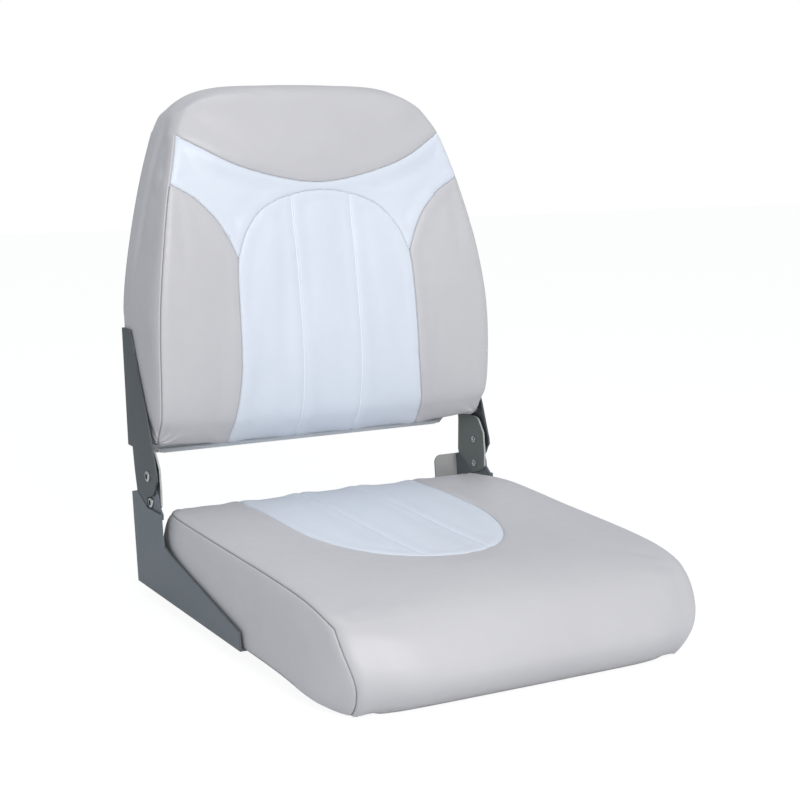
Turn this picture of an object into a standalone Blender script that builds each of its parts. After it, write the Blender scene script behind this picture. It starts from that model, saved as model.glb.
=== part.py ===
"""Folding boat seat: a seat and a back cushion on moulded bases, joined by a riveted folding hinge
at each side. +Z is up, the seat faces -Y, and the origin is the centre of the pedestal bolt pattern
on the underside of the seat base."""
import math

import bmesh
import bpy
import numpy as np
from mathutils import Matrix, Vector

MM = 0.001

# Seat as a whole. Places along the seat are measured forward from the rear edge of the brackets.
bracket_rear = 290.0 * MM
hinge_span = 480.0 * MM
gap = 0.3 * MM
running_gap = 0.6 * MM
overrun = 25.0 * MM
edge_round = 0.6 * MM
round_sides = 16
screw_sides = 10
fit_turns = 4
seam_steps = 16

# Hinge: three layers of plate at each side, counted inward from the outer face.
plate = 2.5 * MM
flange_width = 37.0 * MM
flange_corner = 10.0 * MM
bracket_length = 321.0 * MM
bracket_height = 118.8 * MM
bracket_lean = 14.0 * MM
recess_front = 82.0 * MM
recess_height = 103.5 * MM
tongue_lap = 7.0 * MM
horn_front = 4.8 * MM
lower_pivot_forward = 47.0 * MM
lower_pivot_height = 111.5 * MM
pivot_spacing = 33.0 * MM
pivot_offset = 2.0 * MM
arm_end_radius = 25.6 * MM
arm_top_height = 320.5 * MM
arm_flange_height = 172.5 * MM
arm_rear_at_flange = 23.2 * MM
back_slope = 0.0757
shank_radius = 3.0 * MM
head_radius = 6.8 * MM
head_height = 2.2 * MM
roll_radius = 4.8 * MM
roll_height = 1.2 * MM
rivet_bore = 2.2 * MM
rivet_bore_depth = 1.5 * MM
spacer_radius = 8.0 * MM
tongue_radius = 24.2 * MM
link_end_radius = 13.0 * MM
link_top_height = 176.5 * MM
link_rear = 3.2 * MM
link_front = 72.0 * MM

# Bracket's upper edge, front to back: share of its length, share of its height.
bracket_edge_shares = [(0.985, 0.177), (0.645, 0.353), (0.355, 0.500), (0.286, 0.560), (0.268, 0.680)]
# Arm's front edge, top to bottom: share of the height over the upper pivot, then share of the way
# forward from the arm's top rear corner to the front of its round end.
arm_edge_shares = [(1.0, 0.2715), (0.856, 0.3905), (0.709, 0.4861), (0.547, 0.6302), (0.402, 0.7526),
                   (0.293, 0.8448), (0.19, 0.9118), (0.088, 0.9805), (0.035, 1.0191), (-0.01, 1.0325)]

# Seat base and what is screwed into it.
base_thickness = 12.0 * MM
base_front = 498.0 * MM
base_corner = 38.0 * MM
base_inset = 15.5 * MM
base_half_width = hinge_span / 2 - plate - base_inset
# Base's side, rear to front: share of its length, share of its half-width.
base_side_shares = [(0.0, 0.976), (0.09, 0.990), (0.24, 1.0)]
screw_inset = 27.8 * MM
bolt_pitch = 127.0 * MM
nut_bore = 3.3 * MM
nut_barrel_radius = 4.8 * MM
nut_flange_radius = 9.5 * MM
nut_flange = 1.5 * MM
nut_length = 10.5 * MM
screw_radius = 2.1 * MM
screw_head_radius = 4.2 * MM
screw_head_height = 2.0 * MM
base_screw_length = 9.0 * MM
base_screw_shares = [0.10, 0.50, 0.90]
rear_screw_length = 14.0 * MM
back_screw_length = 11.0 * MM
back_screw_shares = [0.14, 0.50, 0.86]

# Seat cushion. Each row of its table is a share of the length; shares of the height at the middle
# and at the seam; shares of the half-width at the seam, at mid height and at the bottom.
cushion_bottom = 0.5 * MM
cover_wall = 5.5 * MM
channel_place = 41.0 * MM
channel_half_width = 5.0 * MM
channel_depth = 3.2 * MM
seam_gap_share = 0.75
squeeze_share = 0.9
foam_slack = 6.0 * MM
seat_height = 105.0 * MM
seat_clearance = 2.0 * MM
seat_half_width = hinge_span / 2 - plate - seat_clearance
seat_rear_edge = 57.0 * MM
seat_front_edge = 540.0 * MM
seat_mid_rear = 34.0 * MM
seat_mid_front = 573.0 * MM
seat_foot_rear = 11.0 * MM
seat_foot_front = 533.0 * MM
seat_droop = 15.0 * MM
seat_bow = 23.0 * MM
bow_power = 5
bolster_crown = 5.0 * MM
insert_half_width = 125.5 * MM
insert_straight_end = 205.0 * MM
insert_tip = 405.0 * MM
seat_row_shares = [(0.0, 0.985, 0.935, 0.928, 0.940, 0.950), (0.065, 1.000, 0.985, 0.968, 0.975, 0.975),
                   (0.190, 1.010, 1.010, 0.995, 0.998, 0.993), (0.400, 0.985, 0.985, 0.990, 0.999, 0.995),
                   (0.610, 0.970, 0.965, 0.984, 0.999, 0.995), (0.795, 0.960, 0.935, 0.980, 0.998, 0.992),
                   (0.915, 0.925, 0.865, 0.965, 0.975, 0.985), (1.0, 0.810, 0.765, 0.952, 0.940, 0.880)]
# Droop of the cushion's lower edge below the base at each of those rows.
droop_shares = [0.0, 0.0, 0.0, 0.0, 0.0, 0.12, 0.6, 1.0]
# Rings down from the top edge: height share, bow share, rearmost and foremost place.
seat_rings = [(0.42, 1.5, seat_mid_rear, seat_mid_front), (0.0, 0.5, seat_foot_rear, seat_foot_front)]

# Back cushion and its panel. Each row of its table is a share of the height over the bottom; shares
# of the depth at the middle and at the seam; shares of the half-width at the seam and at the rear.
panel_thickness = 10.0 * MM
panel_bottom = 160.0 * MM
back_bottom = 178.0 * MM
back_front_top = 602.0 * MM
back_top = 622.5 * MM
back_depth = 82.5 * MM
back_clearance = 1.0 * MM
back_half_width = hinge_span / 2 - plate - back_clearance
back_corner_rise = 9.0 * MM
back_top_drop = 20.0 * MM
back_row_shares = [(0.005, 0.61, 0.67, 0.980, 0.972), (0.052, 0.82, 0.79, 0.986, 0.982),
                   (0.112, 0.95, 0.94, 0.992, 0.995), (0.240, 1.00, 0.98, 0.995, 0.999),
                   (0.394, 0.91, 0.94, 0.986, 0.999), (0.571, 0.745, 0.80, 0.943, 0.958),
                   (0.724, 0.58, 0.62, 0.871, 0.896), (0.830, 0.565, 0.45, 0.803, 0.837),
                   (0.913, 0.44, 0.29, 0.740, 0.782), (1.0, 0.22, 0.13, 0.660, 0.700)]
# Rings back from the front: share of the way to the rear; share of the way to the rear half-width;
# share of the rise from the front's top edge to the top.
back_rings = [(0.42, 1.25, 1.0), (1.0, 1.0, 0.35)]
bolster_top_share = 0.7
# Seam lines on the back: share of the half-width, share of the height over the back's bottom.
head_seam_shares = [(0.0, 0.722), (0.131, 0.727), (0.288, 0.744), (0.439, 0.767), (0.542, 0.789),
                    (0.625, 0.812), (0.701, 0.834), (0.775, 0.858)]
wing_seam_shares = [(0.508, 0.518), (0.529, 0.543), (0.567, 0.587), (0.620, 0.632), (0.702, 0.677),
                    (0.758, 0.698), (0.860, 0.728), (0.920, 0.745)]
insert_seam_shares = [(0.575, -0.100), (0.570, 0.025), (0.546, 0.140), (0.531, 0.230), (0.526, 0.400),
                      (0.512, 0.520), (0.494, 0.543), (0.457, 0.587), (0.392, 0.632), (0.325, 0.660),
                      (0.228, 0.682), (0.110, 0.699), (0.0, 0.704)]

# Kinds of face on a cushion's cage.
FACE, LEFT, RIGHT, FIRST_END, LAST_END, FLOOR = range(6)

materials = {
    "grey_vinyl": ((0.58, 0.56, 0.58, 1.0), 0.42, 0.0),
    "white_vinyl": ((0.80, 0.84, 0.90, 1.0), 0.42, 0.0),
    "painted_steel": ((0.10, 0.115, 0.125, 1.0), 0.45, 0.3),
    "bright_steel": ((0.62, 0.62, 0.60, 1.0), 0.30, 1.0),
    "moulded_plastic": ((0.52, 0.53, 0.55, 1.0), 0.55, 0.0),
    "foam": ((0.80, 0.74, 0.52, 1.0), 0.95, 0.0),
}


def clear_scene():
    for item in list(bpy.data.objects):
        bpy.data.objects.remove(item, do_unlink=True)


def new_collection(name):
    collection = bpy.data.collections.new(name)
    bpy.context.scene.collection.children.link(collection)
    return collection


def make_material(name):
    colour, roughness, metallic = materials[name]
    material = bpy.data.materials.new(name)
    material.use_nodes = True
    shader = material.node_tree.nodes["Principled BSDF"]
    shader.inputs["Base Color"].default_value = colour
    shader.inputs["Roughness"].default_value = roughness
    shader.inputs["Metallic"].default_value = metallic
    material.diffuse_color = colour
    return material


def at(across, forward, height):
    """A point from its place across, forward of the brackets' rear edge, and up."""
    return Vector((across, bracket_rear - forward, height))


def add_object(name, mesh, collection, material=None):
    item = bpy.data.objects.new(name, mesh)
    collection.objects.link(item)
    if material is not None:
        mesh.materials.clear()
        mesh.materials.append(material)
    return item


def hide_cutter(item):
    item.hide_render = True
    item.display_type = "WIRE"
    return item


def evaluated_mesh(item):
    """The object's mesh with its modifiers applied, still in the object's own frame."""
    graph = bpy.context.evaluated_depsgraph_get()
    graph.update()
    return bpy.data.meshes.new_from_object(item.evaluated_get(graph))


def freeze(item):
    """Replaces the object's data by its evaluated mesh, with doubled points welded."""
    mesh = evaluated_mesh(item)
    work = bmesh.new()
    work.from_mesh(mesh)
    bmesh.ops.remove_doubles(work, verts=work.verts, dist=gap / 100)
    bmesh.ops.recalc_face_normals(work, faces=work.faces)
    work.to_mesh(mesh)
    work.free()
    name, matrix, collection = item.name, item.matrix_world.copy(), item.users_collection[0]
    bpy.data.objects.remove(item, do_unlink=True)
    result = bpy.data.objects.new(name, mesh)
    collection.objects.link(result)
    result.matrix_world = matrix
    return result


def flat_piece(name, loops, thickness, frame, collection):
    """A flat plate from closed outlines in its own plane: the first is the rim, the others holes."""
    curve = bpy.data.curves.new(name, "CURVE")
    curve.dimensions = "2D"
    curve.fill_mode = "BOTH"
    curve.extrude = thickness / 2
    curve.render_resolution_u = 0
    for loop in loops:
        spline = curve.splines.new("POLY")
        spline.points.add(len(loop) - 1)
        for point, place in zip(spline.points, loop):
            point.co = (place[0], place[1], 0, 1)
        spline.use_cyclic_u = True
    item = bpy.data.objects.new(name, curve)
    collection.objects.link(item)
    item.matrix_world = frame
    bpy.context.view_layer.update()
    return freeze(item)


def circle(centre, radius, sides=round_sides):
    turn = 2 * math.pi / sides
    return [(centre[0] + radius * math.cos(k * turn), centre[1] + radius * math.sin(k * turn))
            for k in range(sides)]


def arc(centre, radius, start, end, steps):
    angles = np.radians(np.linspace(start, end, steps + 1))
    return [(centre[0] + radius * math.cos(a), centre[1] + radius * math.sin(a)) for a in angles]


def frame_from(origin, right, up):
    """A frame whose local X and Y run along two directions of the object."""
    right, up = Vector(right).normalized(), Vector(up).normalized()
    normal = right.cross(up)
    rows = [[right[k], up[k], normal[k], origin[k]] for k in range(3)]
    return Matrix(rows + [[0, 0, 0, 1]])


def side_frame(across):
    """The plane of a hinge plate: local X runs forward, local Y runs up."""
    return frame_from(at(across, 0, 0), (0, -1, 0), (0, 0, 1))


def turned(name, profile, frame, collection, closed=False, sides=round_sides):
    """A piece turned about the frame's local Z from (radius, height) points, outer side downward."""
    work = bmesh.new()
    points = [work.verts.new((radius, 0, height)) for radius, height in profile]
    pairs = list(zip(points, points[1:]))
    if closed:
        pairs.append((points[-1], points[0]))
    for first, second in pairs:
        work.edges.new((first, second))
    mesh = bpy.data.meshes.new(name)
    work.to_mesh(mesh)
    work.free()
    item = add_object(name, mesh, collection)
    screw = item.modifiers.new("turn", "SCREW")
    screw.steps = sides
    screw.render_steps = sides
    screw.use_merge_vertices = True
    screw.merge_threshold = gap / 100
    item.matrix_world = frame
    bpy.context.view_layer.update()
    return freeze(item)


def box(name, low, high, collection):
    work = bmesh.new()
    bmesh.ops.create_cube(work, size=1)
    size = Vector(high) - Vector(low)
    middle = (Vector(high) + Vector(low)) / 2
    bmesh.ops.scale(work, vec=size, verts=work.verts)
    mesh = bpy.data.meshes.new(name)
    work.to_mesh(mesh)
    work.free()
    item = add_object(name, mesh, collection)
    item.location = middle
    bpy.context.view_layer.update()
    return item


def boolean(item, other, operation, solver="EXACT"):
    modifier = item.modifiers.new(operation.lower(), "BOOLEAN")
    modifier.operation = operation
    modifier.solver = solver
    modifier.object = other
    return modifier


def join_solids(item, others, solver="EXACT"):
    for other in others:
        boolean(item, other, "UNION", solver)
    result = freeze(item)
    for other in others:
        bpy.data.objects.remove(other, do_unlink=True)
    return result


def cut_solid(item, cutters, solver="EXACT"):
    for cutter in cutters:
        boolean(item, cutter, "DIFFERENCE", solver)
    return freeze(item)


def finish(item, material, smooth=True):
    item.data.materials.clear()
    item.data.materials.append(material)
    if smooth:
        item.data.shade_smooth()
        item.data.set_sharp_from_angle(angle=math.radians(35))
    return item


def hang_on(item, axis_point):
    """Parents a moving piece to the empty on its joint's axis, without moving the piece."""
    item.parent = axis_point
    item.matrix_parent_inverse = axis_point.matrix_world.inverted()


# Places shared by the hinge plates.
half_span = hinge_span / 2
layer = plate + gap
outer_middle = half_span - plate / 2
tongue_middle = outer_middle - layer
link_middle = tongue_middle - layer
lower_pivot = (lower_pivot_forward, lower_pivot_height)
upper_pivot = (lower_pivot_forward - pivot_offset, lower_pivot_height + pivot_spacing)
base_rear = plate + gap
rebate = plate + gap
back_tilt = math.atan(back_slope)
back_up = Vector((0, math.sin(back_tilt), math.cos(back_tilt)))
back_forward = Vector((0, -math.cos(back_tilt), math.sin(back_tilt)))
flange_foot = at(0, -arm_rear_at_flange, arm_flange_height)


def back_frame(depth):
    """The plane parallel to the back panel, a depth forward of the arm flanges' rear face."""
    return frame_from(flange_foot + back_forward * depth, (1, 0, 0), back_up)


def panel_height(height):
    """Distance along the back panel's slope of a height above the floor."""
    return (height - arm_flange_height) / math.cos(back_tilt)


def rear_place(height, depth):
    """Place forward of the brackets' rear edge of a point on the plane at that depth."""
    return -arm_rear_at_flange - (height - arm_flange_height) * back_slope + depth / math.cos(back_tilt)


def bracket_plate(name, side, collection):
    """Outer leaf of the seat bracket, with the recess that the arm's end turns in."""
    edge = [(along * bracket_length, up * bracket_height) for along, up in bracket_edge_shares]
    outline = [(0, 0), (bracket_length, 0)] + edge
    outline.append((recess_front, recess_height))
    tail = arm_tail()
    outline.append((tail[0] + running_gap, recess_height))
    outline.append((horn_front, bracket_height))
    outline.append((-bracket_lean, bracket_height - plate * 2))
    return flat_piece(name, [outline], plate, side_frame(side * outer_middle), collection)


def arm_tail():
    """Tip of the arm's tail, which lies in the recess behind the lower rivet's head."""
    reach = head_radius + running_gap + plate
    return (lower_pivot[0] - reach * math.cos(math.radians(35)), recess_height + plate)


def bracket_tongue(name, side, collection):
    """Inset leaf that carries the lower rivet, lapped on the outer leaf below the recess."""
    low = recess_height - tongue_lap
    outline = [(recess_front, low), (recess_front, recess_height)]
    outline += arc(lower_pivot, tongue_radius, 0, 170, 10)
    outline += [(lower_pivot[0] - tongue_radius, low)]
    hole = circle(lower_pivot, shank_radius + gap)
    return flat_piece(name, [outline, hole], plate, side_frame(side * tongue_middle), collection)


def bracket_root(name, side, collection):
    """The fold between the two leaves of the bracket."""
    low = recess_height - tongue_lap
    rear = lower_pivot[0] - tongue_radius
    near = side * (half_span - plate / 2)
    far = side * (half_span - plate * 1.5 - gap)
    top = recess_height - running_gap
    low_point = at(min(near, far), recess_front - plate, low + edge_round)
    high_point = at(max(near, far), rear + plate, top)
    corners = [low_point, high_point]
    lows = [min(c[k] for c in corners) for k in range(3)]
    highs = [max(c[k] for c in corners) for k in range(3)]
    return box(name, lows, highs, collection)


def bracket_rear_flange(name, side, collection):
    """Upright flange turned in behind the seat, its top inner corner rounded."""
    slope = bracket_lean / (bracket_height - plate * 2)
    tilt = math.atan(slope)
    up = Vector((0, math.sin(tilt), math.cos(tilt)))
    top = (bracket_height - plate * 2) / math.cos(tilt)
    inner = half_span - flange_width
    corner = (inner + flange_corner, top - flange_corner)
    outline = [(half_span, 0), (half_span, top)] + arc(corner, flange_corner, 90, 180, 5) + [(inner, 0)]
    hole = circle((half_span - screw_inset, screw_line()), screw_radius + gap, screw_sides)
    loops = [[(side * x, z) for x, z in loop] for loop in (outline, hole)]
    forward = up.cross(Vector((1, 0, 0)))
    origin = at(0, 0, 0) - forward * plate / 2
    return flat_piece(name, loops, plate, frame_from(origin, (1, 0, 0), up), collection)


def screw_line():
    """Height of the screws through the rear flanges: the middle of the base over its rebate."""
    return (base_thickness + rebate) / 2


def base_screw_places():
    return [share * bracket_length for share in base_screw_shares]


def bracket_bottom_flange(name, side, collection):
    inner = half_span - flange_width
    outline = [(inner, 0), (half_span, 0), (half_span, bracket_length), (inner, bracket_length)]
    loop = [(side * x, -forward) for x, forward in outline]
    frame = frame_from(at(0, 0, plate / 2), (1, 0, 0), (0, 1, 0))
    return flat_piece(name, [loop], plate, frame, collection)


def countersink(name, centre, collection):
    """Cutter for a countersunk screw and its head in the underside of a bottom flange."""
    wide = screw_head_radius + gap
    narrow = screw_radius + gap
    profile = [(0, overrun), (narrow, overrun), (narrow, screw_head_height + gap), (wide, gap), (wide, -overrun),
               (0, -overrun)]
    return hide_cutter(turned(name, profile, Matrix.Translation(centre), collection, sides=screw_sides))


def make_bracket(side, label, parts, cutters):
    outer = bracket_plate("seat_bracket_" + label, side, parts)
    others = [bracket_tongue("tongue", side, cutters), bracket_root("root", side, cutters),
              bracket_rear_flange("rear_flange", side, cutters),
              bracket_bottom_flange("bottom_flange", side, cutters)]
    bracket = join_solids(outer, others, "MANIFOLD")
    middle = side * (half_span - screw_inset)
    sinks = [countersink("bracket_countersink_" + label + str(k), at(middle, place, 0), cutters)
             for k, place in enumerate(base_screw_places())]
    return cut_solid(bracket, sinks)


def make_link(side, label, parts):
    """Inner plate between the two rivets. Its foot is round about the lower pivot."""
    lower = arc(lower_pivot, link_end_radius, -90, -140, 4)
    corner_radius = link_end_radius
    top_corner = (upper_pivot[0] + plate, link_top_height - corner_radius)
    outline = lower
    outline += [(horn_front, bracket_height + running_gap), (link_rear, bracket_height + plate * 2)]
    outline += [(link_rear, link_top_height)]
    outline += arc(top_corner, corner_radius, 90, 45, 3)
    outline += [(link_front - plate * 1.5, upper_pivot[1] + link_end_radius),
                (link_front, upper_pivot[1] - link_end_radius), (link_front, lower_pivot[1]),
                (link_front - plate * 3, lower_pivot[1] - link_end_radius / 2)]
    holes = [circle(lower_pivot, shank_radius + gap), circle(upper_pivot, shank_radius + gap)]
    return flat_piece("hinge_link_" + label, [outline] + holes, plate, side_frame(side * link_middle), parts)


def arm_outline():
    """Arm's outline at its rest place: round end about the upper pivot, tail behind the lower one."""
    rise = arm_top_height - upper_pivot[1]
    rear_top = -arm_rear_at_flange - (arm_top_height - arm_flange_height) * back_slope
    reach = upper_pivot[0] + arm_end_radius - rear_top
    front = [(rear_top + forward * reach, upper_pivot[1] + up * rise) for up, forward in arm_edge_shares]
    outline = [(rear_top, arm_top_height)] + front
    outline += arc(upper_pivot, arm_end_radius, -18, -82, 7)
    notch = head_radius + running_gap
    outline += arc(lower_pivot, notch, 100, 215, 7)
    tail = arm_tail()
    outline += [tail, (horn_front + running_gap, bracket_height + running_gap)]
    step_height = arm_flange_height
    outline += [(link_rear - plate * 2, upper_pivot[1]), (-plate * 3, step_height), (-arm_rear_at_flange, step_height)]
    return outline


def make_arm(side, label, parts, cutters):
    holes = [circle(upper_pivot, shank_radius + gap)]
    arm = flat_piece("back_arm_" + label, [arm_outline()] + holes, plate, side_frame(side * outer_middle), parts)
    inner = half_span - flange_width
    top = panel_height(arm_top_height)
    corner = (inner + flange_corner, top - flange_corner)
    foot = (inner + flange_corner, flange_corner)
    outline = [(half_span, 0), (half_span, top)] + arc(corner, flange_corner, 90, 180, 5)
    outline += arc(foot, flange_corner, 180, 270, 5)
    middle = half_span - screw_inset
    holes = [circle((middle, share * top), screw_radius + gap, screw_sides) for share in back_screw_shares]
    loops = [[(side * x, up) for x, up in loop] for loop in [outline] + holes]
    flange = flat_piece("arm_flange", loops, plate, back_frame(plate / 2), cutters)
    return join_solids(arm, [flange])


def rivet(name, side, pivot, head_face, collection):
    """Tubular rivet: outer head with a hollow, shank through the plates, end rolled over inside."""
    roll_face = link_middle - plate / 2 - gap
    length = head_face - roll_face
    top = head_height
    profile = [(0, top - rivet_bore_depth), (rivet_bore, top - rivet_bore_depth), (rivet_bore, top),
               (head_radius - edge_round * 2, top), (head_radius, top - edge_round * 2), (head_radius, 0),
               (shank_radius, 0), (shank_radius, -length), (roll_radius, -length),
               (roll_radius - edge_round, -length - roll_height), (0, -length - roll_height)]
    origin = at(side * head_face, pivot[0], pivot[1])
    frame = frame_from(origin, (0, 1, 0), (0, 0, side))
    return turned(name, profile, frame, collection)


def make_spacer(side, label, parts):
    """Ring on the upper rivet between the arm and the link."""
    ring = [circle(upper_pivot, spacer_radius), circle(upper_pivot, shank_radius + gap)]
    return flat_piece("hinge_spacer_" + label, ring, plate, side_frame(side * tongue_middle), parts)


def plain_screw(name, origin, direction, length, countersunk, collection):
    """A screw whose shank runs along the direction from the face under its head."""
    direction = Vector(direction).normalized()
    across = Vector((1, 0, 0))
    if abs(direction.x) > abs(direction.z) and abs(direction.x) > abs(direction.y):
        across = Vector((0, 1, 0))
    frame = frame_from(origin, across, direction.cross(across) * -1)
    head = screw_head_height
    if countersunk:
        profile = [(0, gap), (screw_head_radius, gap), (screw_radius, head), (screw_radius, length), (0, length)]
        profile = [(radius, -height) for radius, height in profile]
    else:
        profile = [(0, head), (screw_head_radius - edge_round, head), (screw_head_radius, head - edge_round),
                   (screw_head_radius, gap), (screw_radius, gap), (screw_radius, -length), (0, -length)]
    return turned(name, profile, frame, collection, sides=screw_sides)


def base_body(name, collection):
    """The base's plain plate, before its rebates and holes."""
    length = base_front - base_rear
    right = [(share * base_half_width, base_rear + along * length) for along, share in base_side_shares]
    right += arc((base_half_width - base_corner, base_front - base_corner), base_corner, 0, 90, 5)
    outline = [(x, -forward) for x, forward in right + [(-x, forward) for x, forward in reversed(right)]]
    frame = frame_from(at(0, 0, base_thickness / 2), (1, 0, 0), (0, 1, 0))
    return flat_piece(name, [outline], base_thickness, frame, collection)


def make_base(parts, cutters):
    """Moulded base plate, rebated for the bracket flanges and bored for the nuts and screws."""
    base = base_body("seat_base", parts)
    tools = flange_pockets("base_rebate_", gap, cutters)
    for k, (x, y) in enumerate(bolt_places()):
        top = base_thickness
        bore = nut_barrel_radius + gap
        sink = nut_flange_radius + gap
        depth = top - nut_flange - gap * 2
        profile = [(0, top + overrun), (sink, top + overrun), (sink, depth), (bore, depth),
                   (bore, -overrun), (0, -overrun)]
        tools.append(hide_cutter(turned("nut_hole_" + str(k), profile, Matrix.Translation((x, y, 0)), cutters)))
    hole = screw_radius + gap
    for side, label in ((-1, "left"), (1, "right")):
        middle = side * (half_span - screw_inset)
        for k, place in enumerate(base_screw_places()):
            profile = [(0, base_screw_length + gap * 2), (hole, base_screw_length + gap * 2), (hole, 0), (0, 0)]
            name = "base_pilot_" + label + str(k)
            tool = turned(name, profile, Matrix.Translation(at(middle, place, 0)), cutters, sides=screw_sides)
            tools.append(hide_cutter(tool))
        profile = [(0, overrun), (hole, overrun), (hole, -rear_screw_length - gap), (0, -rear_screw_length - gap)]
        frame = frame_from(at(middle, 0, screw_line()), (1, 0, 0), (0, 0, -1))
        tools.append(hide_cutter(turned("rear_pilot_" + label, profile, frame, cutters, sides=screw_sides)))
    return cut_solid(base, tools)


def bolt_places():
    half = bolt_pitch / 2
    return [(x, y) for y in (half, -half) for x in (-half, half)]


def flange_pockets(prefix, clearance, collection):
    """Boxes a clearance larger than the bottom and rear flanges of the brackets."""
    pockets = []
    for side, label in ((-1, "left"), (1, "right")):
        inner = side * (half_span - flange_width - clearance)
        outer = side * (half_span + overrun)
        near = at(min(inner, outer), bracket_length + clearance, -overrun)
        far = at(max(inner, outer), -overrun, plate + clearance)
        pockets.append(hide_cutter(box(prefix + label, near, far, collection)))
    return pockets


def make_nut(index, place, parts):
    """Flanged nut pressed into the base from above, open at both ends."""
    top = base_thickness - gap
    flange_low = top - nut_flange
    low = top - nut_length
    profile = [(nut_bore, top), (nut_flange_radius, top), (nut_flange_radius, flange_low),
               (nut_barrel_radius, flange_low), (nut_barrel_radius, low), (nut_bore, low)]
    return turned("tee_nut_" + str(index), profile, Matrix.Translation((place[0], place[1], 0)), parts, closed=True)


def cage(name, columns, rows, place, ring_places, floor_place, crease, collection):
    """Coarse closed cage: a grid for a cushion's face, rings back from its border and a floor grid.
    Each face keeps its kind: face, left, right, first end, last end or floor."""
    work = bmesh.new()
    kind = work.faces.layers.int.new("kind")
    sharp = work.edges.layers.float.new("crease_edge")
    spots = {}

    def add_grid(level):
        made = bmesh.ops.create_grid(work, x_segments=columns - 1, y_segments=rows - 1, size=1)["verts"]
        for vertex in made:
            column = round((vertex.co.x + 1) / 2 * (columns - 1))
            row = round((vertex.co.y + 1) / 2 * (rows - 1))
            spots[vertex] = (column, row, level)
            vertex.co.z = -level
        return made

    add_grid(0)
    border = [edge for edge in work.edges if edge.is_boundary]
    for edge in border:
        edge[sharp] = crease
    for level in range(1, len(ring_places) + 2):
        last = {(vertex.co.x, vertex.co.y): spots[vertex] for edge in border for vertex in edge.verts}
        made = bmesh.ops.extrude_edge_only(work, edges=border)["geom"]
        for vertex in [item for item in made if isinstance(item, bmesh.types.BMVert)]:
            spots[vertex] = last[(vertex.co.x, vertex.co.y)][:2] + (level,)
            vertex.co.z = -level
        border = [item for item in made if isinstance(item, bmesh.types.BMEdge)]
        for face in [item for item in made if isinstance(item, bmesh.types.BMFace)]:
            places = [spots[vertex] for vertex in face.verts]
            face[kind] = side_kind(places, columns, rows)
        for edge in {e for item in border for v in item.verts for e in v.link_edges}:
            places = [spots[vertex] for vertex in edge.verts]
            if all(c in (0, columns - 1) and r in (0, rows - 1) for c, r, found in places):
                edge[sharp] = crease
    floor = add_grid(len(ring_places) + 1)
    for face in {f for vertex in floor for f in vertex.link_faces}:
        face[kind] = FLOOR
        face.normal_flip()
    for vertex, (column, row, level) in spots.items():
        if level == 0:
            vertex.co = place(column, row)
        elif level <= len(ring_places):
            vertex.co = ring_places[level - 1](column, row)
        else:
            vertex.co = floor_place(column, row)
    bmesh.ops.remove_doubles(work, verts=work.verts, dist=gap / 100)
    for edge in work.edges:
        if len({face[kind] == FLOOR for face in edge.link_faces}) > 1:
            edge[sharp] = 1
    bmesh.ops.recalc_face_normals(work, faces=work.faces)
    mesh = bpy.data.meshes.new(name)
    work.to_mesh(mesh)
    work.free()
    item = add_object(name, mesh, collection)
    smooth = item.modifiers.new("smooth", "SUBSURF")
    smooth.levels = 1
    smooth.render_levels = 1
    reach_targets(item)
    return freeze(item)


def side_kind(places, columns, rows):
    """Which side of the cage a ring's face lies on."""
    if all(column == 0 for column, row, level in places):
        return LEFT
    if all(column == columns - 1 for column, row, level in places):
        return RIGHT
    return FIRST_END if all(row == 0 for column, row, level in places) else LAST_END


def reach_targets(item):
    """Moves the cage's points out until the smoothed surface passes through their first places."""
    targets = [vertex.co.copy() for vertex in item.data.vertices]
    for turn in range(fit_turns):
        smooth = evaluated_mesh(item)
        for vertex, target, now in zip(item.data.vertices, targets, smooth.vertices):
            vertex.co += target - now.co
        item.data.update()
        bpy.data.meshes.remove(smooth)


def knife(work, path, axis, kinds):
    """Cuts edges into the surface along a path seen along one axis, on faces of the given kinds."""
    kind = work.faces.layers.int["kind"]
    view = Vector([1 if k == axis else 0 for k in range(3)])
    flat = [k for k in range(3) if k != axis]
    for first, second in zip(path, path[1:]):
        lows = [min(first[k], second[k]) - gap for k in flat]
        highs = [max(first[k], second[k]) + gap for k in flat]
        faces = []
        for face in work.faces:
            if face[kind] not in kinds:
                continue
            spans = [[vertex.co[k] for vertex in face.verts] for k in flat]
            if all(max(span) > low and min(span) < high for span, low, high in zip(spans, lows, highs)):
                faces.append(face)
        near = faces + list({e for f in faces for e in f.edges}) + list({v for f in faces for v in f.verts})
        across = (Vector(second) - Vector(first)).cross(view).normalized()
        bmesh.ops.bisect_plane(work, geom=near, dist=gap / 2, plane_co=Vector(first), plane_no=across)


def inside_outline(outline, point):
    """Whether a flat point lies in a closed outline."""
    inside = False
    for (x0, y0), (x1, y1) in zip(outline, outline[1:] + outline[:1]):
        if (y0 > point[1]) != (y1 > point[1]) and point[0] < x0 + (point[1] - y0) / (y1 - y0) * (x1 - x0):
            inside = not inside
    return inside


def shrink_border(work, inner, amount):
    """Draws the border of a panel back along its own surface, so that a gap is left at each seam."""
    steps = {}
    for edge in work.edges:
        if not edge.is_boundary:
            continue
        face = edge.link_faces[0]
        start, end = edge.verts
        loop = [item for item in face.loops if item.edge == edge][0]
        if loop.vert != start:
            start, end = end, start
        step = face.normal.cross(end.co - start.co).normalized()
        for vertex in edge.verts:
            steps.setdefault(vertex, []).append(step)
    for vertex, found in steps.items():
        mean = sum(found, Vector()) / len(found)
        move = mean * (amount / max(mean.length_squared, 0.5))
        vertex.co += move
        vertex[inner] += move


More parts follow.
